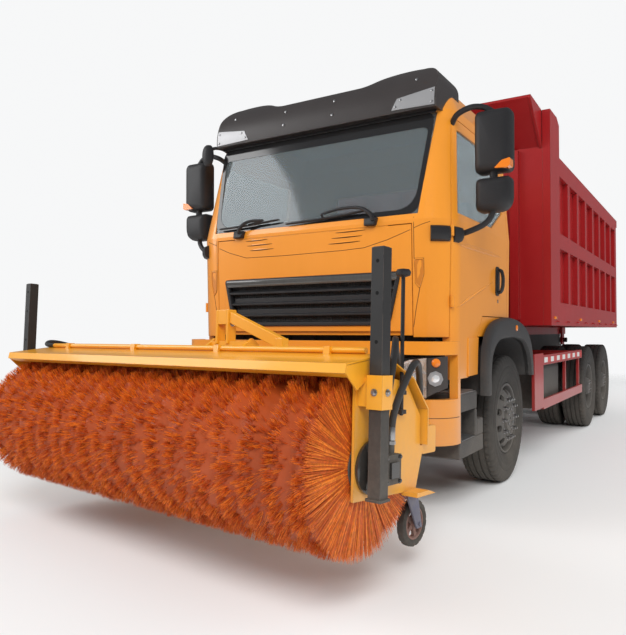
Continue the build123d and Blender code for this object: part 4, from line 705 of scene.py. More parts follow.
wheelMeshes = {kind: wheelMesh(kind) for kind in ("front", "rear")}
for axle, middles, behind in wheelTable:
    kind = "front" if axle == "front" else "rear"
    for sideName, side in sides:
        wheel = axle + "_" + sideName
        middle = Matrix.Translation((side * middles[-1], behind, tyreSetup["radius"]))
        place = truckPlace @ middle @ Matrix.Diagonal((side, 1, 1, 1))
        bm = bmesh.new()
        bm.from_mesh(wheelMeshes[kind])
        addPiece("rim_" + wheel + "_disc", bm, "rimGrey", "wheel_" + wheel, "rim_grey", place, smooth=40,
                 replaced=("rim_" + wheel,))
        bm = bmesh.new()
        seat, face = wheelSetup["studSeat"][kind], wheelSetup["hubFace"][kind]
        for k in range(wheelSetup["studs"]):
            spot = spoke(k * math.tau / wheelSetup["studs"]) * wheelSetup["studRing"]
            for lifts, radii, steps in wheelSetup["studShape"]:
                tube(bm, [spot + Vector((seat + lift, 0, 0)) for lift in lifts], radii, steps)
        for k in range(wheelSetup["hubBolts"]):
            spot = spoke((k + 0.5) * math.tau / wheelSetup["hubBolts"]) * wheelSetup["hubRing"]
            tube(bm, [spot + Vector((face + lift, 0, 0)) for lift in (-0.01, 0.011, 0.013)], (0.008, 0.008, 0.006), 6)
        addPiece("studs_" + wheel, bm, "bareSteel", "wheel_" + wheel, "rim_grey", place, smooth=30)
print("wheels ready")

# rotary brush: wavy wafers under a coat of separate bristles, straight fans on both end faces
brushSetup = {
    "length": 2.90,
    "radius": 0.44,
    "wafers": 18,
    "rowsPerWafer": 6,
    "steps": 168,
    "ridgeRadius": 0.424,
    "ridgeDepth": 0.052,
    "ridgePower": 1.6,
    "endInset": 0.012,
    "core": 0.10,
    "pileDepth": 0.030,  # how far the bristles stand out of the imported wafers
    "swing": 0.030,  # how far a wafer runs from side to side
    "tips": 36000,
    "tuft": 6,
    "fans": 2600,
    "seed": 11,
    "roughness": 0.006,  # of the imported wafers
    "bow": 0.034, "lean": 0.014, "drift": 0.010, "slide": 0.006,  # spreads of tufts and bristles
    "seatSpread": 0.34, "seatLimit": 0.85, "tuftTurn": 0.011, "tuftSeat": 0.06, "tuftLimit": 0.98,
    "lift": 0.013, "liftSpread": 0.005, "rootDepth": (0.08, 0.13), "aroundShare": 0.45, "tipWidth": (0.0014, 0.0030),
    "fanLean": 0.035, "fanInset": (0.0, 0.010), "fanRoot": (0.10, 0.17), "fanSlide": (-0.010, 0.006),
    "fanTip": (0.385, 0.436), "fanWidth": (0.0022, 0.0036),
    "hub": ((0.0, 0.001), (0.0, 0.125), (0.006, 0.128), (0.011, 0.124), (0.011, 0.070), (0.016, 0.062),
            (0.018, 0.036), (0.018, 0.001)),
    "hubInset": 0.006,
    "hubRing": 0.097,
    "hubBolts": 8,
}


def brushWave(wafer, angle):
    return brushSetup["swing"] * (math.sin(2 * angle + wafer * 0.5) + 0.35 * math.sin(5 * angle + wafer * 2.1))


def within(value, bound):
    return max(-bound, min(bound, value))


def brushPieces():
    setup = brushSetup
    chance = random.Random(setup["seed"])
    pitch = setup["length"] / setup["wafers"]
    half = setup["length"] / 2
    limit = half - setup["endInset"]
    rows = setup["rowsPerWafer"]
    bm = bmesh.new()
    profile = [(-half + setup["endInset"], setup["core"])]
    marks = [None]
    for wafer in range(setup["wafers"]):
        for row in range(rows):
            u = (row + 0.5) / rows * 2 - 1
            packed = setup["ridgeRadius"] - setup["pileDepth"]
            profile.append((-half + pitch * (wafer + (row + 0.5) / rows),
                            packed - setup["ridgeDepth"] * abs(u) ** setup["ridgePower"]))
            marks.append(wafer)
    profile.append((limit, setup["core"]))
    marks.append(None)

    def wander(k, j):
        if marks[j] is None:
            return 0.0, 0.0
        x = within(profile[j][0] + brushWave(marks[j], k * math.tau / setup["steps"]), limit)
        return x - profile[j][0], chance.uniform(-setup["roughness"], setup["roughness"])

    rings = turned(bm, profile, setup["steps"], shape=wander)
    bm.faces.new(rings[0])
    bm.faces.new(rings[-1])
    # the wafers take the darker bristle colour, painted shade beneath the coat of bristles
    addPiece("brush_wafers", bm, "bristlePaintedShade", "brush", "bristle", brushPlace, smooth=80, replaced=("brush",))

    coats = (bmesh.new(), bmesh.new())

    def blade(bm, root, tip, across, width):
        middle = root.lerp(tip, 0.55) + across * chance.uniform(-0.5, 0.5) * width
        a, b, c, d, e, f = (bm.verts.new(point) for point in (
            root - across * width, root + across * width, middle + across * width * 0.8,
            tip + across * width * 0.25, tip - across * width * 0.25, middle - across * width * 0.8))
        bm.faces.new((a, b, c, f))
        bm.faces.new((f, c, d, e))

    # tufts of six stand together, and every second tuft is darker
    for k in range(2 * setup["tips"]):
        if k % setup["tuft"] == 0:
            wafer = chance.randrange(setup["wafers"])
            turn = chance.uniform(0, math.tau)
            bow = chance.gauss(0, setup["bow"])
            seat = within(chance.gauss(0, setup["seatSpread"]), setup["seatLimit"])
            drift = chance.gauss(0, setup["drift"])
        angle = turn + chance.gauss(0, setup["tuftTurn"])
        lean = bow + chance.gauss(0, setup["lean"])
        u = within(seat + chance.gauss(0, setup["tuftSeat"]), setup["tuftLimit"])
        x = -half + pitch * (wafer + 0.5 + u * 0.5) + brushWave(wafer, angle)
        crest = setup["ridgeRadius"] + setup["lift"] - setup["ridgeDepth"] * abs(u) ** setup["ridgePower"]
        reach = min(setup["radius"], crest + chance.gauss(0, setup["liftSpread"]))
        slide = drift + chance.gauss(0, setup["slide"])
        root = Vector((within(x, limit), 0, 0)) + spoke(angle) * (reach - chance.uniform(*setup["rootDepth"]))
        tip = Vector((within(x + slide, limit), 0, 0)) + spoke(angle + lean) * reach
        around = Vector((0, -math.sin(angle), math.cos(angle)))
        across = around if chance.random() < setup["aroundShare"] else Vector((1, 0, 0))
        blade(coats[k // setup["tuft"] % 2], root, tip, across, chance.uniform(*setup["tipWidth"]))
    for end in (-1, 1):
        for k in range(setup["fans"]):
            angle = chance.uniform(0, math.tau)
            lean = chance.gauss(0, setup["fanLean"])
            depth = half - chance.uniform(*setup["fanInset"])
            root = Vector((end * depth, 0, 0)) + spoke(angle) * chance.uniform(*setup["fanRoot"])
            tip = Vector((end * (depth + chance.uniform(*setup["fanSlide"])), 0, 0))
            tip += spoke(angle + lean) * chance.uniform(*setup["fanTip"])
            around = Vector((0, -math.sin(angle), math.cos(angle)))
            blade(coats[k % 2], root, tip, around, chance.uniform(*setup["fanWidth"]))
    for bm, name, finish in zip(coats, ("brush_bristles", "brush_bristles_dark"), ("bristleStraw", "bristleDark")):
        addPiece(name, bm, finish, "brush", "bristle", brushPlace, smooth=180, keepNormals=True)

    # steel tube ends and clamp discs that hold the fans
    bm = bmesh.new()
    start = half - setup["hubInset"]
    for end in (-1, 1):
        turned(bm, [(end * (start + x), r) for x, r in setup["hub"]], 40)
        for k in range(setup["hubBolts"]):
            spot = Vector((end * start, 0, 0)) + spoke(k * math.tau / setup["hubBolts"]) * setup["hubRing"]
            tube(bm, [spot + Vector((end * lift, 0, 0)) for lift in (0, 0.017, 0.0175)], (0.011, 0.011, 0.008), 6)
    addPiece("brush_hubs", bm, "frameBlack", "brush", "motor_black", brushPlace, smooth=30)


brushPieces()
print("brush ready")


def rounded(points, radius, steps=5):
    # closed outline with its corners turned; radius is one number or one for each corner
    loop = []
    count = len(points)
    for k in range(count):
        corner = Vector(points[k])
        toBefore = Vector(points[k - 1]) - corner
        toAfter = Vector(points[(k + 1) % count]) - corner
        reach = radius[k] if isinstance(radius, (list, tuple)) else radius
        reach = min(reach, toBefore.length * 0.49, toAfter.length * 0.49)
        first = corner + toBefore.normalized() * reach
        last = corner + toAfter.normalized() * reach
        for step in range(steps + 1):
            t = step / steps
            loop.append(tuple(first * (1 - t) ** 2 + corner * (2 * t * (1 - t)) + last * t * t))
    return loop


def oblong(x, z, radius, steps):
    return rounded([(x[0], z[0]), (x[1], z[0]), (x[1], z[1]), (x[0], z[1])], radius, steps)


def flat(loop, y, side=1):
    # outline of x and z, stood at one y
    return [(side * x, y, z) for x, z in loop]


def turns(steps):
    return [2 * math.pi * j / steps for j in range(steps)]


def loft(bm, loops, ring=False):
    rings = [[bm.verts.new(point) for point in loop] for loop in loops]
    skin(bm, rings + rings[:1] if ring else rings)
    if not ring:
        bm.faces.new(rings[0])
        bm.faces.new(rings[-1])


toTruck = truckPlace.inverted()
farOut = 2.4  # start of a line of sight, clear of the truck
cabCorner = (0.89, -1.175)


def castOn(names, start, aim):
    # nearest point of these solids on a line of sight, in the truck's place
    start = truckPlace @ Vector(start)
    best = None
    for name in names:
        found, spot, normal, _ = nodes[name].ray_cast(start, Vector(aim))
        if found and (best is None or (spot - start).length < best[0]):
            best = ((spot - start).length, toTruck @ spot, normal.copy())
    return best[1], best[2]


def onFront(x, z, lift=0.0, names=("cab_shell", "front_flap")):
    spot, normal = castOn(names, (x, -farOut, z), (0, 1, 0))
    return spot + normal * lift


def onSide(side, y, z, lift=0.0, names=("door_left", "door_right", "cab_shell")):
    spot, normal = castOn(names, (side * farOut, y, z), (-side, 0, 0))
    return spot + normal * lift


def onCorner(side, degrees, z, lift=0.0, names=("door_left", "door_right", "cab_shell")):
    # 0 degrees looks in from the side, 90 from the front, towards the cab's rounded corner
    angle = math.radians(degrees)
    out = Vector((side * math.cos(angle), -math.sin(angle), 0))
    spot, normal = castOn(names, Vector((side * cabCorner[0], cabCorner[1], z)) + out * 1.2, -out)
    return spot + normal * lift


def laid(loop, lift, side=1):
    # outline of x and z laid on the cab's front
    return [tuple(onFront(side * x, z, lift)) for x, z in loop]


def between(points, steps):
    # points spread along a run of straight lines
    line = []
    for a, b in zip(points, points[1:]):
        line += [tuple(Vector(a).lerp(Vector(b), k / steps)) for k in range(steps)]
    return line + [tuple(points[-1])]


# windscreen: black ceramic border and a black header under the visor; the border's top band reaches further down,
# partly painted shade under the visor
screenSetup = {
    "opening": ((-0.925, 2.120), (0.925, 2.120), (0.985, 2.890), (-0.985, 2.890)),
    # the clear opening's top sits low so the black band also paints the shade under the visor
    "clear": ((-0.890, 2.160), (0.890, 2.160), (0.944, 2.775), (-0.944, 2.775)),
    "corner": 0.10,
    "clearCorner": (0.15, 0.15, 0.05, 0.05),
    "inset": 0.0103,
    "header": (2.878, 2.932, 0.990),
    "foot": (-1.435, 2.080), "rake": 0.25,
}


def screenY(z, lift=0.0):
    y, foot = screenSetup["foot"]
    return y + screenSetup["rake"] * (z - foot) - lift


def onScreen(loop, lift):
    return [(x, screenY(z, lift), z) for x, z in loop]


def screenPieces():
    bm = bmesh.new()
    outer = rounded(screenSetup["opening"], screenSetup["corner"], 8)
    inner = rounded(screenSetup["clear"], screenSetup["clearCorner"], 8)
    front, back = 0.0025 - screenSetup["inset"], 0.0004 - screenSetup["inset"]
    loft(bm, [onScreen(outer, front), onScreen(inner, front), onScreen(inner, back), onScreen(outer, back)], ring=True)
    addPiece("screen_border", bm, "glossBlack")
    low, high, half = screenSetup["header"]
    bm = bmesh.new()
    prism(bm, [(screenY(z, lift), z) for z, lift in ((low, 0.005), (high, 0.005), (high, -0.006), (low, -0.006))],
          "x", -half, half)
    addPiece("screen_header", bm, "trimBlack", bevel=0.002)


wiperSetup = (
    # base x, arm points and blade ends, each x, lift off the screen, z
    (0.570, ((0.600, 0.040, 2.095), (0.575, 0.058, 2.145), (0.480, 0.060, 2.196), (0.310, 0.052, 2.205),
             (0.150, 0.042, 2.180)), ((0.500, 0.016, 2.172), (-0.180, 0.016, 2.134))),
    (-0.645, ((-0.640, 0.040, 2.095), (-0.615, 0.056, 2.140), (-0.560, 0.056, 2.180), (-0.480, 0.050, 2.190),
              (-0.400, 0.042, 2.186)), ((-0.860, 0.016, 2.150), (-0.255, 0.016, 2.180))),
)


def wiperPieces():
    for k, (base, arm, blade) in enumerate(wiperSetup):
        bm = bmesh.new()
        foot = [(base - 0.046, 2.056), (base + 0.040, 2.056), (base + 0.052, 2.116), (base - 0.052, 2.116)]
        foot = rounded(foot, 0.010, 3)
        top = [(base + (x - base) * 0.82, 2.088 + (z - 2.088) * 0.8) for x, z in foot]
        loft(bm, [onScreen(foot, -0.004), onScreen(foot, 0.030), onScreen(top, 0.040)])
        line = bend([(x, screenY(z, lift), z) for x, lift, z in arm], 6)
        tube(bm, line, [0.017 - 0.008 * j / len(line) for j in range(len(line))], 10)
        ends = [Vector((x, screenY(z, lift), z)) for x, lift, z in blade]
        sag = Vector((0, 0.004, -0.006))
        along = lambda t: ends[0].lerp(ends[1], t) + sag * (4 * t * (1 - t))
        spine = [along(j / 12) for j in range(13)]
        tube(bm, [point + Vector((0, -0.012, 0.003)) for point in spine], [0.004] + [0.007] * 11 + [0.004], 8)
        tube(bm, [point + Vector((0, 0.001, 0)) for point in spine], 0.0045, 6)
        for t in (0.12, 0.34, 0.5, 0.66, 0.88):
            tube(bm, [along(t), along(t) + Vector((0, -0.014, 0.004))], 0.008, 8)
        tube(bm, [line[-1], along(0.5) + Vector((0, -0.012, 0.003))], 0.009, 8)
        addPiece("wiper_" + str(k + 1), bm, "trimBlack", smooth=45)


screenPieces()
wiperPieces()
print("windscreen ready")

# pressed louvres, panel joints and creases on the cab
panelSetup = {
    "louvres": (((-0.590, 2.029), (-0.364, 2.032)), ((-0.576, 1.990), (-0.320, 1.994)),
                ((-0.546, 1.950), (-0.305, 1.954)), ((0.262, 2.031), (0.521, 2.034)),
                ((0.229, 1.992), (0.496, 1.995)), ((0.201, 1.951), (0.475, 1.955))),
    "flapLine": ((-0.872, 1.990), (-0.760, 1.945), (-0.585, 1.894), (-0.200, 1.890), (0.327, 1.896), (0.507, 1.904),
                 (0.700, 1.950), (0.872, 2.006)),
    "recess": ((0.898, 1.803), (0.966, 1.803), (0.966, 1.690), (0.936, 1.592), (0.905, 1.630)),
    "recessMiddle": (0.934, 1.71),
    "cornerLines": (((0.936, 1.592), (0.905, 1.430), (0.885, 1.290)), ((0.898, 2.016), (0.960, 2.040), (1.010, 2.056)),
                    ((0.898, 2.095), (0.898, 1.803))),
    "bumperCorner": (0.98, -1.34, 0.706), "bumperReach": 0.9,
    "joint": 0.0024,
}


def jointInto(bm, line, side=1):
    points = [onFront(side * x, z, -0.0008) for x, z in between(line, 6)]
    tube(bm, points, panelSetup["joint"], 6)


def panelPieces():
    bm, lips = bmesh.new(), bmesh.new()
    count = 12
    for (x0, z0), (x1, z1) in panelSetup["louvres"]:
        loops = []
        slots = []
        for j in range(count + 1):
            x, z = x0 + (x1 - x0) * j / count, z0 + (z1 - z0) * j / count
            size = math.sin(math.pi * j / count) ** 0.5
            height = 0.0075 * size + 0.0004
            tall = 0.017 * size + 0.001
            loops.append([tuple(onFront(x, z + rise, lift)) for rise, lift in (
                (tall, -0.001), (tall * 0.35, height * 0.75), (0.001, height), (0.0, -0.001))])
            slots.append([tuple(onFront(x, z + rise, lift)) for rise, lift in (
                (0.0008, height * 0.85), (-0.0045 * size - 0.0004, 0.0006), (0.0008, -0.001))])
        loft(lips, loops)
        # dark strip under each lip, painted shade in the louvre's opening
        loft(bm, slots)
    jointInto(bm, panelSetup["flapLine"])
    addPiece("louvre_slots", bm, "seamDarkAndSlotShade", "front_flap", smooth=60)
    addPiece("louvre_lips", lips, "cabPaint", "front_flap", "cab_paint", smooth=60)
    seams, rims, floors, bumper = (bmesh.new() for _ in range(4))
    recess = panelSetup["recess"]
    rim = rounded(recess, 0.012, 4)
    middle = Vector(panelSetup["recessMiddle"])
    (x, y, z), reach = panelSetup["bumperCorner"], panelSetup["bumperReach"]
    inside = [tuple(middle + (Vector(point) - middle) * 0.90) for point in rim]
    for side in (-1, 1):
        for line in (recess + recess[:1], *panelSetup["cornerLines"]):
            jointInto(seams, line, side)
        loft(rims, [laid(rim, 0.0006, side), laid(rim, 0.0045, side), laid(inside, 0.0045, side),
                    laid(inside, 0.0008, side)], ring=True)
        loft(floors, [laid(inside, 0.0012, side), laid(inside, 0.0, side)])
        corner = []
        for angle in [math.radians(d) for d in range(0, 96, 6)]:
            start = (side * (x + reach * math.cos(angle)), y - reach * math.sin(angle), z)
            corner.append(castOn(("front_bumper",), start, (-side * math.cos(angle), math.sin(angle), 0))[0])
        tube(bumper, corner, panelSetup["joint"], 6)
    addPiece("corner_joints", seams, "seamDarkAndSlotShade", smooth=60)
    addPiece("corner_recess_rims", rims, "cabPaint", slot="cab_paint", smooth=50)
    # recess floors in a darker orange: painted shade, since the recess is only a thin raised rim on the flat cab face
    addPiece("corner_recess_floors", floors, "cabPaintedShade", slot="cab_paint", smooth=50)
    addPiece("bumper_joints", bumper, "seamDarkAndSlotShade", smooth=60)


panelPieces()

# doors: pull handle on its plate, creases pressed in the skin, and a lock
doorSetup = {
    "crease": ((-1.270, 1.447), (-0.900, 1.551), (-0.380, 1.695)),
    "waist": ((-1.270, 1.905), (-0.800, 1.912), (-0.100, 1.914)),
    "handleY": -0.270,
    "handleZ": (1.600, 1.812),
}


def doorPieces(sideName, side):
    body = "door_" + sideName

    def at(y, z, lift):
        return tuple(onSide(side, y, z, lift, (body,)))

    bm = bmesh.new()
    for line, high, wide in ((doorSetup["crease"], 0.0055, 0.020), (doorSetup["waist"], 0.0035, 0.030)):
        run = between(line, 10)
        loops = []
        for j, (y, z) in enumerate(run):
            fade = min(1.0, 4 * j / len(run), 4 * (len(run) - 1 - j) / len(run)) + 0.02
            loops.append([at(y, z + wide * fade, -0.001), at(y, z, high * fade), at(y, z - wide * 0.45 * fade, -0.001)])
        loft(bm, loops)
    addPiece("door_creases_" + sideName, bm, "cabPaint", body, "cab_paint", smooth=25)
    bm = bmesh.new()
    low, high = doorSetup["handleZ"]
    middle = doorSetup["handleY"]
    centre = (low + high) / 2
    plate = oblong((middle - 0.050, middle + 0.050), (low - 0.014, high + 0.014), 0.030, 6)
    top = [(middle + (y - middle) * 0.9, centre + (z - centre) * 0.95) for y, z in plate]
    loft(bm, [[at(y, z, lift) for y, z in loop] for loop, lift in ((plate, -0.001), (plate, 0.007), (top, 0.010))])
    grip = bend([at(middle, z, lift) for z, lift in (
        (low + 0.010, 0.004), (low + 0.020, 0.034), (low + 0.060, 0.047), (centre, 0.050), (high - 0.060, 0.047),
        (high - 0.020, 0.034), (high - 0.010, 0.004))], 5)
    start = len(bm.verts)
    tube(bm, grip, 0.0135, 12)
    for vert in list(bm.verts)[start:]:
        vert.co.y = middle + (vert.co.y - middle) * 1.9
    addPiece("door_handle_" + sideName, bm, "trimBlack", body, smooth=45)
    bm = bmesh.new()
    keyhole = Vector(at(middle + 0.02, low - 0.06, 0))
    tube(bm, [keyhole + Vector((side * lift, 0, 0)) for lift in (-0.002, 0.004, 0.0045)], (0.015, 0.015, 0.010), 20)
    addPiece("door_lock_" + sideName, bm, "bareSteel", body, "cab_paint", smooth=40)


for sideName, side in sides:
    doorPieces(sideName, side)
print("cab panels ready")

# door mirrors: two rounded housings on a stem, thick bent arms, a foot on door and cab
mirrorSetup = {
    "upper": ((1.245, 1.505), (2.405, 2.850), (0.045, 0.045, 0.050, 0.050)),
    "lower": ((1.250, 1.500), (2.130, 2.372), (0.050, 0.105, 0.040, 0.040)),
    "depth": (-1.200, -1.066),
    "shape": ((0.000, 0.052), (0.010, 0.024), (0.030, 0.009), (0.062, 0.0), (0.128, 0.0), (0.134, 0.004)),
    "topArm": ((1.058, -1.105, 2.806), (1.120, -1.150, 2.858), (1.220, -1.160, 2.888), (1.310, -1.145, 2.878),
               (1.372, -1.130, 2.838)),
    "lowArm": ((1.120, -1.150, 1.985), (1.205, -1.160, 2.002), (1.300, -1.148, 2.040), (1.352, -1.134, 2.090),
               (1.372, -1.130, 2.150)),
    "arm": 0.021,
    # z and lift round the foot's section, and the angle where door and cab part
    "foot": ((1.918, -0.002), (1.928, 0.026), (1.955, 0.040), (1.995, 0.042), (2.020, 0.030), (2.032, -0.002)),
    "split": 26.5,
    "lens": ((1.398, 2.422), (1.490, 2.416), (1.508, 2.432), (1.508, 2.482), (1.450, 2.470)),
}


def mirrorHousing(bm, glass, side, span, rise, radii):
    near, far = mirrorSetup["depth"]

    def box(inset, y):
        corners = [max(r - inset * 0.4, 0.012) for r in radii]
        return flat(oblong((span[0] + inset, span[1] - inset), (rise[0] + inset, rise[1] - inset), corners, 6), y, side)

    loops = [box(inset, near + along) for along, inset in mirrorSetup["shape"]]
    loft(bm, loops + [box(0.015, far), box(0.018, far - 0.013)])
    loft(glass, [box(0.019, far - 0.0125), box(0.020, far - 0.010)])


def footInto(bm, side, start, stop, names):
    loops = []
    for k in range(9):
        degrees = start + (stop - start) * k / 8
        thin = 1.0 - 0.8 * max(0.0, 1.0 - abs(degrees - mirrorSetup["split"]) / 14.0)
        loops.append([tuple(onCorner(side, degrees, z, lift * thin if lift > 0 else lift, names))
                      for z, lift in mirrorSetup["foot"]])
    loft(bm, loops)


def mirrorPieces(sideName, side):
    body = "door_" + sideName
    bm, glass, lens, foot = (bmesh.new() for _ in range(4))
    for part in ("upper", "lower"):
        mirrorHousing(bm, glass, side, *mirrorSetup[part])
    for part in ("topArm", "lowArm"):
        tube(bm, bend([(side * x, y, z) for x, y, z in mirrorSetup[part]], 7), mirrorSetup["arm"], 14)
    tube(bm, [(side * 1.375, -1.130, z) for z in (2.340, 2.356, 2.420, 2.436)], (0.016, 0.028, 0.028, 0.016), 14)
    footInto(bm, side, 7, 22, (body,))
    addPiece("mirror_shells_" + sideName, bm, "trimBlack", body, smooth=42, replaced=("mirror_" + sideName,))
    addPiece("mirror_faces_" + sideName, glass, "mirrorFace", body, smooth=30)
    loft(lens, [flat(rounded(mirrorSetup["lens"], 0.008, 3), y, side) for y in (-1.203, -1.197, -1.130, -1.120)])
    addPiece("mirror_repeater_" + sideName, lens, "amberLens", body, "lamp", smooth=40)
    footInto(foot, side, 30, 62, ("cab_shell",))
    addPiece("mirror_foot_" + sideName, foot, "trimBlack", smooth=42)


kerbSetup = {
    "centre": (-1.085, -1.330, 2.835),
    "half": (0.060, 0.052, 0.095),
    "glass": (0.048, 0.080),
    "arm": ((-0.965, -1.185, 2.866), (-1.000, -1.230, 2.900), (-1.040, -1.290, 2.905), (-1.075, -1.345, 2.875)),
}


def kerbMirror():
    bm, glass = bmesh.new(), bmesh.new()
    (x, y, z), (wide, deep, tall) = kerbSetup["centre"], kerbSetup["half"]
    rows = 10
    loops = []
    for k in range(1, rows):
        angle = math.pi * k / rows
        reach = math.sin(angle) ** 0.7
        loops.append([(x + wide * reach * math.cos(t), y - deep * reach * math.sin(t) if math.sin(t) > 0 else y,
                       z + tall * math.cos(angle)) for t in turns(24)])
    loft(bm, loops)
    tube(bm, bend(kerbSetup["arm"], 6), 0.014, 12)
    addPiece("kerb_mirror", bm, "trimBlack", smooth=60)
    wide, tall = kerbSetup["glass"]
    loft(glass, [[(x + wide * math.cos(t), face, z + tall * math.sin(t)) for t in turns(32)]
                 for face in (y + 0.0015, y - 0.0015)])
    addPiece("kerb_mirror_face", glass, "mirrorFace")


for sideName, side in sides:
    mirrorPieces(sideName, side)
kerbMirror()
print("mirrors ready")

# sun visor: bright end plates with screws, pins, and two aerial stubs on the roof
visorSetup = {
    "plate": ((0.668, 2.922), (1.004, 2.912), (1.004, 3.040), (0.712, 3.004)),
    "screws": ((0.700, 2.944), (0.985, 2.934), (0.985, 3.012), (0.740, 2.988)),
    "pins": ((0.159, 3.106), (0.158, 2.985), (-0.306, 3.104), (-0.305, 2.985), (0.847, 3.140), (-0.847, 3.140)),
    "aerials": ((-0.130, -0.930), (0.215, -0.900)),
}


def onVisor(x, z, lift=0.0):
    return onFront(x, z, lift, ("roof_visor",))


def stud(bm, spot, out, radius, height):
    out = Vector(out).normalized()
    tube(bm, [spot + out * lift for lift in (-0.002, height * 0.6, height)], (radius, radius, radius * 0.62), 14)


def visorPieces():
    plates, pins = bmesh.new(), bmesh.new()
    for side in (-1, 1):
        grid = []
        lowIn, lowOut, highOut, highIn = (Vector(point) for point in visorSetup["plate"])
        for k in range(15):
            low, high = lowIn.lerp(lowOut, k / 14), highIn.lerp(highOut, k / 14)
            line = [low.lerp(high, t) for t in (0.0, 0.25, 0.5, 0.75, 1.0)]
            grid.append([tuple(onVisor(side * x, z, 0.004)) for x, z in line]
                        + [tuple(onVisor(side * x, z, -0.001)) for x, z in reversed(line)])
        loft(plates, grid)
        for x, z in visorSetup["screws"]:
            stud(pins, onVisor(side * x, z, 0.004), (0, -1, 0), 0.009, 0.005)
    for x, z in visorSetup["pins"]:
        stud(pins, onVisor(x, z), (0, -1, 0.2), 0.011, 0.006)
    addPiece("visor_plates", plates, "plateSilver", smooth=40)
    addPiece("visor_pins", pins, "bareSteel", smooth=50)
    bm = bmesh.new()
    for x, y in visorSetup["aerials"]:
        spot, _ = castOn(("roof_visor", "cab_shell"), (x, y, 4.2), (0, 0, -1))
        tube(bm, [spot + Vector((0, 0, h)) for h in (-0.004, 0.022, 0.030, 0.034, 0.060)],
             (0.022, 0.016, 0.011, 0.004, 0.003), 14)
    addPiece("roof_aerials", bm, "trimBlack", smooth=50)


visorPieces()

# grille: tapered frame with slats, a glossy top strip, body-coloured surround, dark mesh behind
grilleSetup = {
    "opening": ((-0.8045, 1.2905), (0.8045, 1.2905), (0.8045, 1.7195), (-0.8045, 1.7195)),
    "taper": ((-0.715, 1.332), (0.715, 1.332), (0.803, 1.717), (-0.803, 1.717)),
    "corner": (0.055, 0.055, 0.035, 0.035),
    "face": -1.4330, "front": -1.4465, "plate": -1.3915,
    "frame": ((0.0, 0.020), (0.0, 0.004), (0.006, 0.0), (0.026, 0.0), (0.032, 0.006), (0.034, 0.045), (0.006, 0.050)),
    "slats": ((1.420, 0.010), (1.512, 0.010), (1.602, 0.010)),
    "panels": ((1.452, 0.016), (1.544, 0.016)),
    "strip": (1.654, 1.706), "meshHalf": 0.795, "meshRise": (1.298, 1.712), "mesh": 0.024,
}


def taperHalf(z):
    (_, low), (halfLow, _), (halfHigh, high) = grilleSetup["taper"][:3]
    return halfLow + (halfHigh - halfLow) * (z - low) / (high - low)


def taperBox(low, high, inset):
    bottom, top = taperHalf(low) - inset, taperHalf(high) - inset
    return [(-bottom, low), (bottom, low), (top, high), (-top, high)]


def taperLoop(inset, y):
    low, high = grilleSetup["taper"][0][1] + inset, grilleSetup["taper"][2][1] - inset
    return flat(rounded(taperBox(low, high, inset), [max(r - inset, 0.008) for r in grilleSetup["corner"]], 6), y)


def grillePieces():
    setup = grilleSetup
    front, near = setup["front"], setup["face"]
    far = near + 0.012
    bm = bmesh.new()
    surround = rounded(setup["opening"], 0.012, 6)
    loft(bm, [flat(surround, near), taperLoop(0.0, near), taperLoop(0.0, far), flat(surround, far)], ring=True)
    addPiece("grille_surround", bm, "cabPaint", "front_flap", "cab_paint", smooth=30)
    bm = bmesh.new()
    loft(bm, [taperLoop(inset, front + back) for inset, back in setup["frame"]], ring=True)
    for z, half in setup["slats"]:
        reach = taperHalf(z) - 0.030
        prism(bm, [(front + 0.006, z - half), (front + 0.004, z + half * 0.4), (front + 0.034, z + half * 2.2),
                   (front + 0.036, z + half)], "x", -reach, reach)
    for z, half in setup["panels"]:
        reach = taperHalf(z) - 0.060
        block(bm, (-reach, reach), (front + 0.022, front + 0.030), (z - half, z + half))
    addPiece("grille_frame", bm, "trimBlack", "front_flap", smooth=30, replaced=("grille",))
    bm = bmesh.new()
    face = rounded(taperBox(*setup["strip"], 0.020), 0.012, 4)
    loft(bm, [flat(face, front + 0.010), flat(face, front - 0.0015),
              [(x * 0.997, front - 0.0040, 1.680 + (z - 1.680) * 0.86) for x, z in face]])
    addPiece("grille_strip", bm, "stripGrey", "front_flap", smooth=40)
    bm = bmesh.new()
    half, (low, high), y, pitch = setup["meshHalf"], setup["meshRise"], setup["plate"], setup["mesh"]
    block(bm, (-half, half), (y - 0.002, y + 0.001), (low, high))
    for k in range(1, int((high - low) / pitch)):
        tube(bm, [(x, y - 0.003, low + k * pitch) for x in (-half, half)], 0.0022, 5)
    for k in range(1, int(2 * half / pitch)):
        tube(bm, [(-half + k * pitch, y - 0.004, z) for z in (low, high)], 0.0022, 5)
    addPiece("grille_mesh", bm, "trimBlack", "front_flap", smooth=50)


grillePieces()

# headlamps: bright reflectors, flush clear lens, grey outer plate with a round lamp and an amber dome
lampSetup = {
    "split": 1.036,
    "centre": (0.980, -1.340),
    "ring": 0.208,
    "bowls": (((0.895, 0.968), 0.088), ((0.985, 0.956), 0.060)),
    # part of the bowl's size, and how far back, round its section
    "bowl": ((0.16, 0.040), (0.30, 0.038), (0.55, 0.033), (0.80, 0.022), (1.0, 0.008), (1.06, 0.008), (1.06, 0.012),
             (0.98, 0.012), (0.78, 0.027), (0.5, 0.0385), (0.16, 0.044)),
    # round fittings: name, finish, place, radii, lifts, sides, smoothing
    "rounds": (
        ("fog_ring_", "plateSilver", (1.088, 0.972), (0.052, 0.052, 0.044, 0.040),
         (-0.006, 0.010, 0.013, 0.004), 8, 30),
        ("fog_lens_", "lampMirror", (1.088, 0.972), (0.039, 0.039, 0.028, 0.010),
         (-0.002, 0.006, 0.012, 0.014), 28, 60),
        ("turn_dome_", "amberLens", (1.092, 1.078), (0.030, 0.030, 0.027, 0.018, 0.006),
         (-0.004, 0.008, 0.016, 0.023, 0.026), 28, 60)),
}


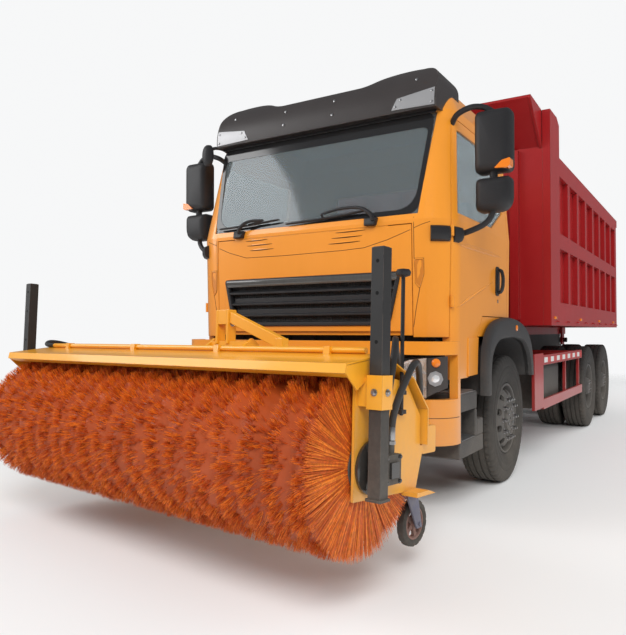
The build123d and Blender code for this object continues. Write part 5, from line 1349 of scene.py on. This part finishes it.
def bumperSpot(x, z, inset):
    # point on the bumper's rounded corner for this x, set in by so much
    centre, radius = lampSetup["centre"], lampSetup["ring"] - inset
    if x <= centre[0]:
        return (x, centre[1] - radius, z)
    reach = min((x - centre[0]) / lampSetup["ring"], 0.999)
    angle = math.asin(reach)
    return (centre[0] + radius * math.sin(angle), centre[1] - radius * math.cos(angle), z)


def lampLow(x):
    return 0.842 if x < 1.02 else 0.842 + (x - 1.02) * 0.5


def lampHigh(x):
    return 1.060 + max(min((x - 0.83) / 0.07, 1.0), 0) * 0.032 + max(x - 0.90, 0) * 0.12


def shellGrid(bm, side, x0, x1, drop, rise, inset, thick, columns=16, rows=6):
    # plate bent round the corner, a little past the lamp's lower and upper lines
    loops = []
    for k in range(columns + 1):
        x = x0 + (x1 - x0) * k / columns
        low, high = lampLow(x) - drop, lampHigh(x) + rise
        column = [low + (high - low) * j / rows for j in range(rows + 1)]
        loop = [bumperSpot(x, z, inset) for z in column] + [bumperSpot(x, z, inset + thick) for z in reversed(column)]
        loops.append([(side * x, y, z) for x, y, z in loop])
    loft(bm, loops)


def bowlInto(bm, side, centre, size):
    spot = Vector(bumperSpot(*centre, 0.0))
    loops = []
    for radius, back in lampSetup["bowl"]:
        loop = []
        for t in turns(36):
            x = spot.x + size * radius * math.cos(t)
            loop.append((side * x, spot.y + back + max(x - lampSetup["centre"][0], 0) * 0.4,
                         spot.z + size * radius * math.sin(t) * 1.08))
        loops.append(loop)
    loft(bm, loops)
    tube(bm, [(side * spot.x, spot.y + back, spot.z) for back in (0.041, 0.020, 0.012, 0.009)],
         (0.016, 0.016, 0.013, 0.004), 16)


def lampPieces():
    split = lampSetup["split"]
    for sideName, side in sides:
        housing, bright, clear, plate = (bmesh.new() for _ in range(4))
        shellGrid(housing, side, 0.812, 1.158, 0.010, 0.008, 0.040, 0.02)
        shellGrid(housing, side, split - 0.004, split + 0.004, 0.0, 0.0, 0.004, 0.036, 2)
        addPiece("lamp_housing_" + sideName, housing, "trimBlack", smooth=40,
                 replaced=("headlamps",) if side == 1 else ())
        for centre, size in lampSetup["bowls"]:
            bowlInto(bright, side, centre, size)
        shellGrid(bright, side, 0.822, split - 0.004, 0.004, 0.002, 0.030, 0.006)
        addPiece("lamp_reflector_" + sideName, bright, "lampMirror", slot="lamp", smooth=50)
        shellGrid(clear, side, 0.816, split, 0.006, 0.004, 0.0, 0.004, 20)
        addPiece("lamp_lens_" + sideName, clear, "lampGlass", slot="lamp", smooth=50)
        shellGrid(plate, side, split + 0.004, 1.154, 0.0, 0.0, 0.004, 0.010)
        addPiece("lamp_plate_" + sideName, plate, "visorGrey", smooth=40)
        out = Vector((side * 0.49, -0.87, 0)).normalized()
        for name, finish, (x, z), radii, lifts, steps, smooth in lampSetup["rounds"]:
            bm = bmesh.new()
            spot = Vector(bumperSpot(x, z, 0.004))
            spot.x *= side
            tube(bm, [spot + out * lift for lift in lifts], radii, steps)
            addPiece(name + sideName, bm, finish, slot="lamp", smooth=smooth)


lampPieces()
print("lamps ready")

# front wheel arches: smooth flare and liner, entry steps with alloy treads, corner panel, side marker
archSetup = {
    "outer": ((-0.775, 0.800), (-0.772, 1.020), (-0.722, 1.205), (-0.545, 1.345), (-0.230, 1.402), (0.100, 1.398),
              (0.400, 1.335), (0.580, 1.210), (0.665, 1.030), (0.682, 0.880)),
    "inner": ((-0.672, 0.800), (-0.668, 1.000), (-0.610, 1.130), (-0.450, 1.212), (-0.210, 1.234), (0.090, 1.234),
              (0.345, 1.196), (0.500, 1.100), (0.580, 0.985), (0.598, 0.880)),
    # part of the way from inner to outer line, and x, round the flare's section
    "section": ((0.0, 1.158), (0.0, 1.205), (0.06, 1.220), (0.30, 1.224), (0.66, 1.224), (0.84, 1.220), (0.95, 1.206),
                (1.0, 1.182), (1.0, 1.158)),
    "liner": (0.88, 1.190), "linerThick": 0.011,
    "panel": ((-1.006, 1.246), (-1.006, 0.956), (-0.788, 0.962), (-0.775, 1.150), (-0.760, 1.246)),
    "panelX": (1.118, 1.146),
    "marker": (1.2235, 0.036, 1.318),
}
stepSetup = {
    "inner": 0.800, "outer": 1.180, "front": -1.305, "rear": -0.775, "low": 0.400, "high": 0.850,
    "recess": (0.930, (-1.262, -0.962), (0.520, 0.722)), "post": 0.042,
    "brackets": (((0.500, 0.800), (-1.180, -1.100), (0.770, 0.840)),
                 ((0.880, 0.930), (-1.010, -0.950), (0.846, 0.950))),
    "ridge": 0.026,
}


def archPieces():
    flare, steps, treads, panel, marker = (bmesh.new() for _ in range(5))
    outer = bend(archSetup["outer"], 5)
    inner = bend(archSetup["inner"], 5)
    linerIn, linerOut = archSetup["liner"]
    s = stepSetup
    cut, (c0, c1), (d0, d1) = s["recess"]
    post = c1 + s["post"]
    whole, outside, pitch = (s["inner"], s["outer"]), s["outer"], s["ridge"]
    for side in (-1, 1):
        loops = []
        liner = []
        for (y0, z0), (y1, z1) in zip(inner, outer):
            loops.append([(side * x, y0 + (y1 - y0) * t, z0 + (z1 - z0) * t) for t, x in archSetup["section"]])
            lift = Vector((y1 - y0, z1 - z0)).normalized() * archSetup["linerThick"]
            liner.append([(side * linerIn, y0, z0), (side * linerOut, y0, z0),
                          (side * linerOut, y0 + lift.x, z0 + lift.y), (side * linerIn, y0 + lift.x, z0 + lift.y)])
        loft(flare, loops)
        loft(flare, liner)
        block(flare, pair(side, linerIn, 1.00), (-0.03, 0.03), (1.240, 1.252))
        for x, y, z in ((whole, (s["front"], s["rear"]), (s["low"], d0)), (whole, (s["front"], post), (d1, s["high"])),
                        (whole, (s["front"], c0), (d0, d1)), (whole, (c1, post), (d0, d1)),
                        ((s["inner"], cut), (c0, c1), (d0, d1)), (whole, (post, s["rear"]), (d0, 0.640)),
                        *s["brackets"]):
            block(steps, pair(side, *x), y, z)
        for (x0, x1), y, z in (((cut + 0.01, outside - 0.004), (c0 + 0.006, c1 - 0.006), d0),
                               ((1.00, outside - 0.006), (s["front"] + 0.02, c1 + 0.02), s["high"])):
            block(treads, pair(side, x0, x1), y, (z, z + 0.004))
            for k in range(int((y[1] - y[0]) / pitch)):
                at = y[0] + 0.016 + k * pitch
                tube(treads, [(side * x, at, z + lift) for x, lift in (
                    (x0 + 0.012, 0.004), (x0 + 0.02, 0.009), (x1 - 0.02, 0.009), (x1 - 0.012, 0.004))], 0.0045, 6)
        prism(panel, archSetup["panel"], "x", *pair(side, *archSetup["panelX"]))
        x, y, z = archSetup["marker"]
        tube(marker, [(side * (x + lift), y, z) for lift in (-0.004, 0.006, 0.010, 0.012)],
             (0.026, 0.026, 0.020, 0.008), 20)
    addPiece("arch_flares", flare, "archGrey", smooth=50, replaced=("front_arches",))
    addPiece("entry_steps", steps, "archGrey", bevel=0.010)
    addPiece("step_treads", treads, "treadAlloy", smooth=45)
    addPiece("cab_corner_panels", panel, "cabPaint", slot="cab_paint", bevel=0.006)
    addPiece("arch_markers", marker, "amberLens", slot="lamp", smooth=50)


archPieces()
print("arches ready")

# broom: hood lip and cheeks, bolts, hose ferrules, motor fittings, crank rod, hitch apex, leg holes and caps
broomSetup = {
    "lip": ((-0.2515, 0.4245), (-0.2065, 0.4075), (-0.2050, 0.4115), (-0.2490, 0.4285)),
    "lipHalf": 1.515,
    "cheek": ((-0.2510, 0.4270), (-0.2450, 0.4600), (-0.0450, 0.4885), (-0.0450, 0.4250), (-0.1650, 0.3520)),
    "cheekX": (1.512, 1.5195),
    "leg": (1.575, -0.075, 0.064), "legFoot": -0.125, "legTop": 0.985,
    "holes": (0.062, 0.205, 0.420),
    "sleeve": (0.270, 0.420), "sleeveHalf": 0.0425,
    "rod": (1.497, 0.235), "rodRise": (0.220, 0.925),
    "plateX": 1.484,
    "apex": (((-0.115, 0.005), (0.472, 0.542), (0.690, 0.790)), ((-0.118, -0.094), (0.470, 0.544), (0.560, 0.790)),
             ((-0.016, 0.008), (0.470, 0.544), (0.560, 0.790)), ((0.430, 0.490), (0.478, 0.536), (0.110, 0.600))),
    "strut": ((-0.010, 0.507, 0.745), (0.462, 0.507, 0.568)),
    "ferrules": ((0.010, 1.546), (0.070, 1.546)),
    "hoodBolts": 13, "hoodBolt": (-1.44, 0.300, 0.4035), "hoodPitch": 0.24, "hoodNormal": (0, 0.4, 0.9),
    "motorBolts": 6, "motorRing": 0.104, "motorEnd": 0.100,
    "motorCorners": ((-0.020, -0.058), (0.088, -0.058), (-0.020, 0.050), (0.088, 0.050)),
}


def crossBolt(bm, place, out, radius, height):
    # six-sided head on a washer
    out = Vector(out).normalized()
    place = Vector(place)
    tube(bm, [place + out * lift for lift in (-0.001, 0.002, 0.0021)], (radius * 1.5, radius * 1.5, radius * 1.1), 20)
    tube(bm, [place + out * lift for lift in (0, height * 0.8, height)], (radius, radius, radius * 0.75), 6)


square = ((-1, -1), (1, -1), (1, 1), (-1, 1))


def upright(bm, x, y, heights, radii, steps):
    tube(bm, [(x, y, z) for z in heights], radii, steps)


def broomPieces():
    setup = broomSetup
    plate = setup["plateX"]

    def addBroom(name, bm, finish, slot="broom_yellow", **more):
        addPiece(name, bm, finish, "broom", slot, brushPlace, **more)

    lip, bolts, ferrules, motor, rods, apex, pins = (bmesh.new() for _ in range(7))
    prism(lip, setup["lip"], "x", -setup["lipHalf"], setup["lipHalf"])
    for side in (-1, 1):
        prism(lip, setup["cheek"], "x", *pair(side, *setup["cheekX"]))
    addBroom("hood_lip", lip, "broomYellow", smooth=20)
    legX, legY, size = setup["leg"]
    middle = sum(setup["sleeve"]) / 2
    for side in (-1, 1):
        crossBolt(bolts, (side * legX, legY - setup["sleeveHalf"], middle), (0, -1, 0), 0.011, 0.012)
        crossBolt(bolts, (side * (legX + setup["sleeveHalf"]), legY, middle), (side, 0, 0), 0.011, 0.012)
    x, y, z = setup["hoodBolt"]
    for k in range(setup["hoodBolts"]):
        crossBolt(bolts, (x + setup["hoodPitch"] * k, y, z), setup["hoodNormal"], 0.008, 0.008)
    addBroom("broom_bolts", bolts, "bareSteel", smooth=30)
    for back, out in setup["ferrules"]:
        upright(ferrules, out, back, (0.100, 0.102, 0.118, 0.120), (0.012, 0.022, 0.022, 0.0185), 6)
        upright(ferrules, out, back, (0.120, 0.124, 0.178, 0.184), (0.0165, 0.0195, 0.0195, 0.0165), 22)
    addBroom("hose_ferrules", ferrules, "bareSteel", "ram_steel", smooth=40)
    for k in range(setup["motorBolts"]):
        spot = Vector((plate, 0, 0)) + spoke(math.tau * k / setup["motorBolts"]) * setup["motorRing"]
        crossBolt(motor, spot, (1, 0, 0), 0.009, 0.010)
    tube(motor, [(plate + along, 0, 0) for along in (0.0, 0.003, 0.016, 0.020, 0.030)],
         (0.122, 0.124, 0.124, 0.118, 0.092), 40)
    end = plate + setup["motorEnd"]
    for y, z in setup["motorCorners"]:
        crossBolt(motor, (end, y, z), (1, 0, 0), 0.009, 0.010)
    block(motor, (end, end + 0.012), (0.004, 0.066), (-0.040, 0.030))
    addBroom("motor_fittings", motor, "glossBlack", "motor_black", smooth=35)
    out, back = setup["rod"]
    start, stop = setup["rodRise"]
    upright(rods, out, back, (start, start + 0.004, stop - 0.004, stop), (0.006, 0.010, 0.010, 0.008), 14)
    upright(rods, out, back, [stop + lift for lift in (-0.034, -0.026, -0.008, 0.004, 0.008)],
            (0.010, 0.034, 0.038, 0.030, 0.008), 24)
    for z in (start + 0.018, start + 0.110):
        block(rods, (plate - 0.002, out + 0.016), (back - 0.020, back + 0.020), (z - 0.010, z + 0.010))
    addBroom("crank_rod", rods, "trimBlack", "frame_dark", smooth=40)
    for x, y, z in setup["apex"]:
        block(apex, x, y, z)
    start, stop = (Vector(point) for point in setup["strut"])
    across = Vector((0, 1, 0))
    rise = (stop - start).normalized().cross(across)
    loft(apex, [[tuple(point + across * (0.026 * a) + rise * (0.036 * b)) for a, b in square]
                for point in (start, stop)])
    addBroom("hitch_apex", apex, "broomYellow", bevel=0.005)
    for x, out in ((-0.118, -1), (0.008, 1)):
        crossBolt(pins, (x, 0.507, 0.700), (out, 0, 0), 0.015, 0.014)
    addBroom("hitch_pins", pins, "bareSteel", smooth=30)
    low, top, half = setup["legFoot"], setup["legTop"], size / 2
    for sideName, side in sides:
        holes, caps = bmesh.new(), bmesh.new()
        # the holes are flat near-black discs on the leg's faces, painted shade in place of real openings
        for drop in setup["holes"]:
            for out in (-1, 1):
                tube(holes, [(side * legX, legY + out * (half + lift), top - drop)
                             for lift in (-0.001, 0.0002, 0.00025)], (0.0088, 0.0088, 0.0080), 20)
        addPiece("leg_holes_" + sideName, holes, "holePaintedShade", "leg_" + sideName, "frame_dark", brushPlace, smooth=30)
        loop = lambda reach, z: [(side * legX + a * reach, legY + b * reach, z) for a, b in rounded(square, 0.25, 3)]
        loft(caps, [loop(half + wide, low + lift) for wide, lift in (
            (0.002, -0.001), (0.010, -0.001), (0.010, 0.010), (-0.001, 0.013))])
        loft(caps, [loop(half + wide, top + lift) for wide, lift in (
            (-0.012, -0.001), (-0.003, -0.001), (-0.004, 0.003), (-0.014, 0.003))])
        addPiece("leg_caps_" + sideName, caps, "frameBlack", "leg_" + sideName, "frame_dark", brushPlace, smooth=35)


broomPieces()

# casters: ribbed black tyre on a red spoked hub
casterSetup = {
    "profile": ((-0.019, 0.088), (-0.024, 0.096), (-0.025, 0.112), (-0.018, 0.1225), (0.0, 0.1248), (0.018, 0.1225),
                (0.025, 0.112), (0.024, 0.096), (0.019, 0.088)),
    "hub": ((-0.017, 0.089), (-0.020, 0.084), (-0.020, 0.078), (-0.012, 0.074), (0.012, 0.074), (0.020, 0.078),
            (0.020, 0.084), (0.017, 0.089)),
    "boss": ((-0.024, 0.010), (-0.024, 0.021), (-0.018, 0.026), (0.018, 0.026), (0.024, 0.021), (0.024, 0.010)),
    "spokes": 5,
    "spoke": ((0.022, 0.015, 0.011), (0.050, 0.011, 0.008), (0.078, 0.017, 0.010)),  # reach, half width, half depth
}


def casterPieces(sideName):
    name = "caster_wheel_" + sideName
    spin = joints["caster_" + sideName + "_spin"]
    axis = Vector(spin["axis"]).normalized()
    across = Vector((0, 0, 1)).cross(axis).normalized()
    place = axesPlace(Vector(spin["pos_m"]), axis, across, axis.cross(across))
    tyre, hub = bmesh.new(), bmesh.new()
    lug = lambda k, j: (0.0, -0.004 if k % 4 == 0 and 2 <= j <= 6 else 0.0)
    for bm, key, steps, shape in ((tyre, "profile", 64, lug), (hub, "hub", 36, None), (hub, "boss", 36, None)):
        rings = turned(bm, casterSetup[key], steps, shape=shape)
        skin(bm, [rings[-1], rings[0]])
    for k in range(casterSetup["spokes"]):
        angle = math.tau * k / casterSetup["spokes"]
        side = Vector((0, -math.sin(angle), math.cos(angle)))
        loft(hub, [[tuple(spoke(angle) * reach + side * (wide * a) + Vector((thick * b, 0, 0)))
                    for a, b in square] for reach, wide, thick in casterSetup["spoke"]])
    addPiece("caster_tyre_" + sideName, tyre, "tyreRubber", name, "caster_rubber", place, smooth=45, replaced=(name,))
    addPiece("caster_hub_" + sideName, hub, "hubRed", name, "caster_rubber", place, smooth=40)


for sideName, _ in sides:
    casterPieces(sideName)
print("broom ready")

# black ribbed plate in the gap between flap and bumper, a dark sheet that paints the shade in that gap
gapShadeSetup = {"half": 1.000, "y": (-1.302, -1.2905), "z": (1.128, 1.2610), "ribs": 9}


def gapShadePiece():
    bm = bmesh.new()
    half = gapShadeSetup["half"]
    block(bm, (-half, half), gapShadeSetup["y"], gapShadeSetup["z"])
    for k in range(gapShadeSetup["ribs"]):
        x = -half + 0.06 + (2 * half - 0.12) * k / (gapShadeSetup["ribs"] - 1)
        block(bm, (x - 0.006, x + 0.006), (gapShadeSetup["y"][0] - 0.020, gapShadeSetup["y"][0]), gapShadeSetup["z"])
    addPiece("gap_shade_panel", bm, "trimBlack", bevel=0.002)


gapShadePiece()

# rear: lamp clusters and mud flaps on the tail beam, lugs on the tailgate
rearSetup = {
    "beamY": 6.040, "lampX": (0.700, 1.070), "lampZ": (0.806, 0.914), "lampDepth": 0.036,
    "lenses": (("redLens", 0.765), ("amberLens", 0.885), ("tapeWhite", 1.005)),
    "flapX": (0.630, 1.095), "flapY": 5.979, "flapZ": (0.300, 0.905),
    "lugs": (-1.060, -0.360, 0.360, 1.060), "lugY": 6.494, "lugZ": (1.470, 1.560),
}


def rearPieces():
    setup = rearSetup
    cases, flaps, lugs = (bmesh.new() for _ in range(3))
    lenses = {name: bmesh.new() for name, _ in setup["lenses"]}
    y, depth = setup["beamY"], setup["lampDepth"]
    (x0, x1), flapY, rows = setup["flapX"], setup["flapY"], 12
    low, high = setup["flapZ"]
    middle = sum(setup["lampZ"]) / 2
    for side in (-1, 1):
        face = oblong(setup["lampX"], setup["lampZ"], 0.018, 4)
        loft(cases, [flat(face, y + d, side) for d in (-0.001, depth - 0.006, depth)])
        for name, x in setup["lenses"]:
            for bm, lifts, radii in ((lenses[name], (-0.004, 0.006, 0.010, 0.011), (0.044, 0.044, 0.034, 0.006)),
                                     (cases, (-0.004, 0.003, 0.0035), (0.050, 0.050, 0.046))):
                tube(bm, [(side * x, y + depth + d, middle) for d in lifts], radii, 28)
        loops = []
        for k in range(rows + 1):
            z = high - (high - low) * k / rows
            sag = 0.020 * (k / rows) ** 2
            loops.append([(side * x, flapY - sag - d, z) for x, d in ((x0, 0.0), (x1, 0.0), (x1, 0.011), (x0, 0.011))])
        loft(flaps, loops)
        for x in (0.68, 0.86, 1.04):
            crossBolt(cases, (side * x, flapY - 0.011, 0.880), (0, -1, 0), 0.009, 0.008)
    low, high = setup["lugZ"]
    for x in setup["lugs"]:
        block(lugs, (x - 0.040, x + 0.040), (setup["lugY"] - 0.002, setup["lugY"] + 0.008), (low, high))
        for shift in (-0.022, 0.022):
            crossBolt(lugs, (x + shift, setup["lugY"] + 0.006, (low + high) / 2), (0, 1, 0), 0.007, 0.006)
    addPiece("tail_lamp_cases", cases, "trimBlack", smooth=40)
    for name, bm in lenses.items():
        addPiece("tail_" + name, bm, name, slot="lamp", smooth=50)
    addPiece("mud_flaps", flaps, "tyreRubber", smooth=40)
    addPiece("gate_lugs", lugs, "bodyRed", "tailgate", "body_red", smooth=30)


# sides: tape on the guards, hooks and markers along the body
sideSetup = {
    "tapeX": (1.2227, 1.2239), "tapeZ": (0.974, 1.026), "tapeY": (1.10, 3.20), "tapeLength": 0.150,
    "hooks": 9, "hookY": (1.55, 6.25), "hookZ": 1.400,
    # hook points: out, back, up
    "hook": ((-0.002, -0.025, 0), (0.010, -0.026, -0.004), (0.020, -0.020, -0.012), (0.024, 0, -0.016),
             (0.020, 0.020, -0.012), (0.010, 0.026, -0.004), (-0.002, 0.025, 0)),
    "markers": (1.45, 2.95, 4.45, 5.95), "markerZ": 1.430,
}


def sidePieces():
    setup = sideSetup
    tapes = {"tapeRed": bmesh.new(), "tapeWhite": bmesh.new()}
    hooks, lenses = bmesh.new(), bmesh.new()
    start, stop = setup["tapeY"]
    first, last = setup["hookY"]
    for side in (-1, 1):
        for k in range(int((stop - start) / setup["tapeLength"])):
            y = start + k * setup["tapeLength"]
            block(tapes["tapeRed" if k % 2 else "tapeWhite"], pair(side, *setup["tapeX"]),
                  (y, y + setup["tapeLength"] - 0.001), setup["tapeZ"])
        for k in range(setup["hooks"]):
            spot = onSide(side, first + (last - first) * k / (setup["hooks"] - 1), setup["hookZ"], 0.0, ("bed_sides",))
            tube(hooks, bend([spot + Vector((side * x, y, z)) for x, y, z in setup["hook"]], 4), 0.006, 8)
        for y in setup["markers"]:
            spot = onSide(side, y, setup["markerZ"], 0.0, ("bed_sides",))
            lens = oblong((-0.045, 0.045), (-0.016, 0.016), 0.012, 4)
            loft(lenses, [[(spot.x + side * lift, spot.y + a * reach, spot.z + b * reach) for a, b in lens]
                          for reach, lift in ((1.0, -0.002), (1.0, 0.010), (0.86, 0.015))])
    for name, bm in tapes.items():
        addPiece("guard_" + name, bm, name, slot="body_red")
    addPiece("body_hooks", hooks, "bodyRed", "bed", "body_red", smooth=60)
    addPiece("body_markers", lenses, "amberLens", "bed", "lamp", smooth=40)


rearPieces()
sidePieces()

# loose cards on the dash, behind the windscreen
cardSetup = {"cards": ((0.22, 0.46, 0.10), (0.50, 0.84, 0.07)), "foot": -1.170}


def cardPieces():
    bm = bmesh.new()
    foot = cardSetup["foot"]
    for x0, x1, rise in cardSetup["cards"]:
        spot, _ = castOn(("cab_interior",), ((x0 + x1) / 2, foot, 2.9), (0, 0, -1))
        low = spot.z + 0.0006
        top = low + rise
        lean = min(0.07, foot - screenY(top) - 0.05)
        front = [(x0, foot, low), (x1, foot, low), (x1 + 0.01, foot - lean, top), (x0 + 0.01, foot - lean, top)]
        loft(bm, [front, [(x, y + 0.0012, z) for x, y, z in front]])
    addPiece("dash_cards", bm, "tapeWhite", slot="interior_grey")


cardPieces()
print("rear and sides ready")
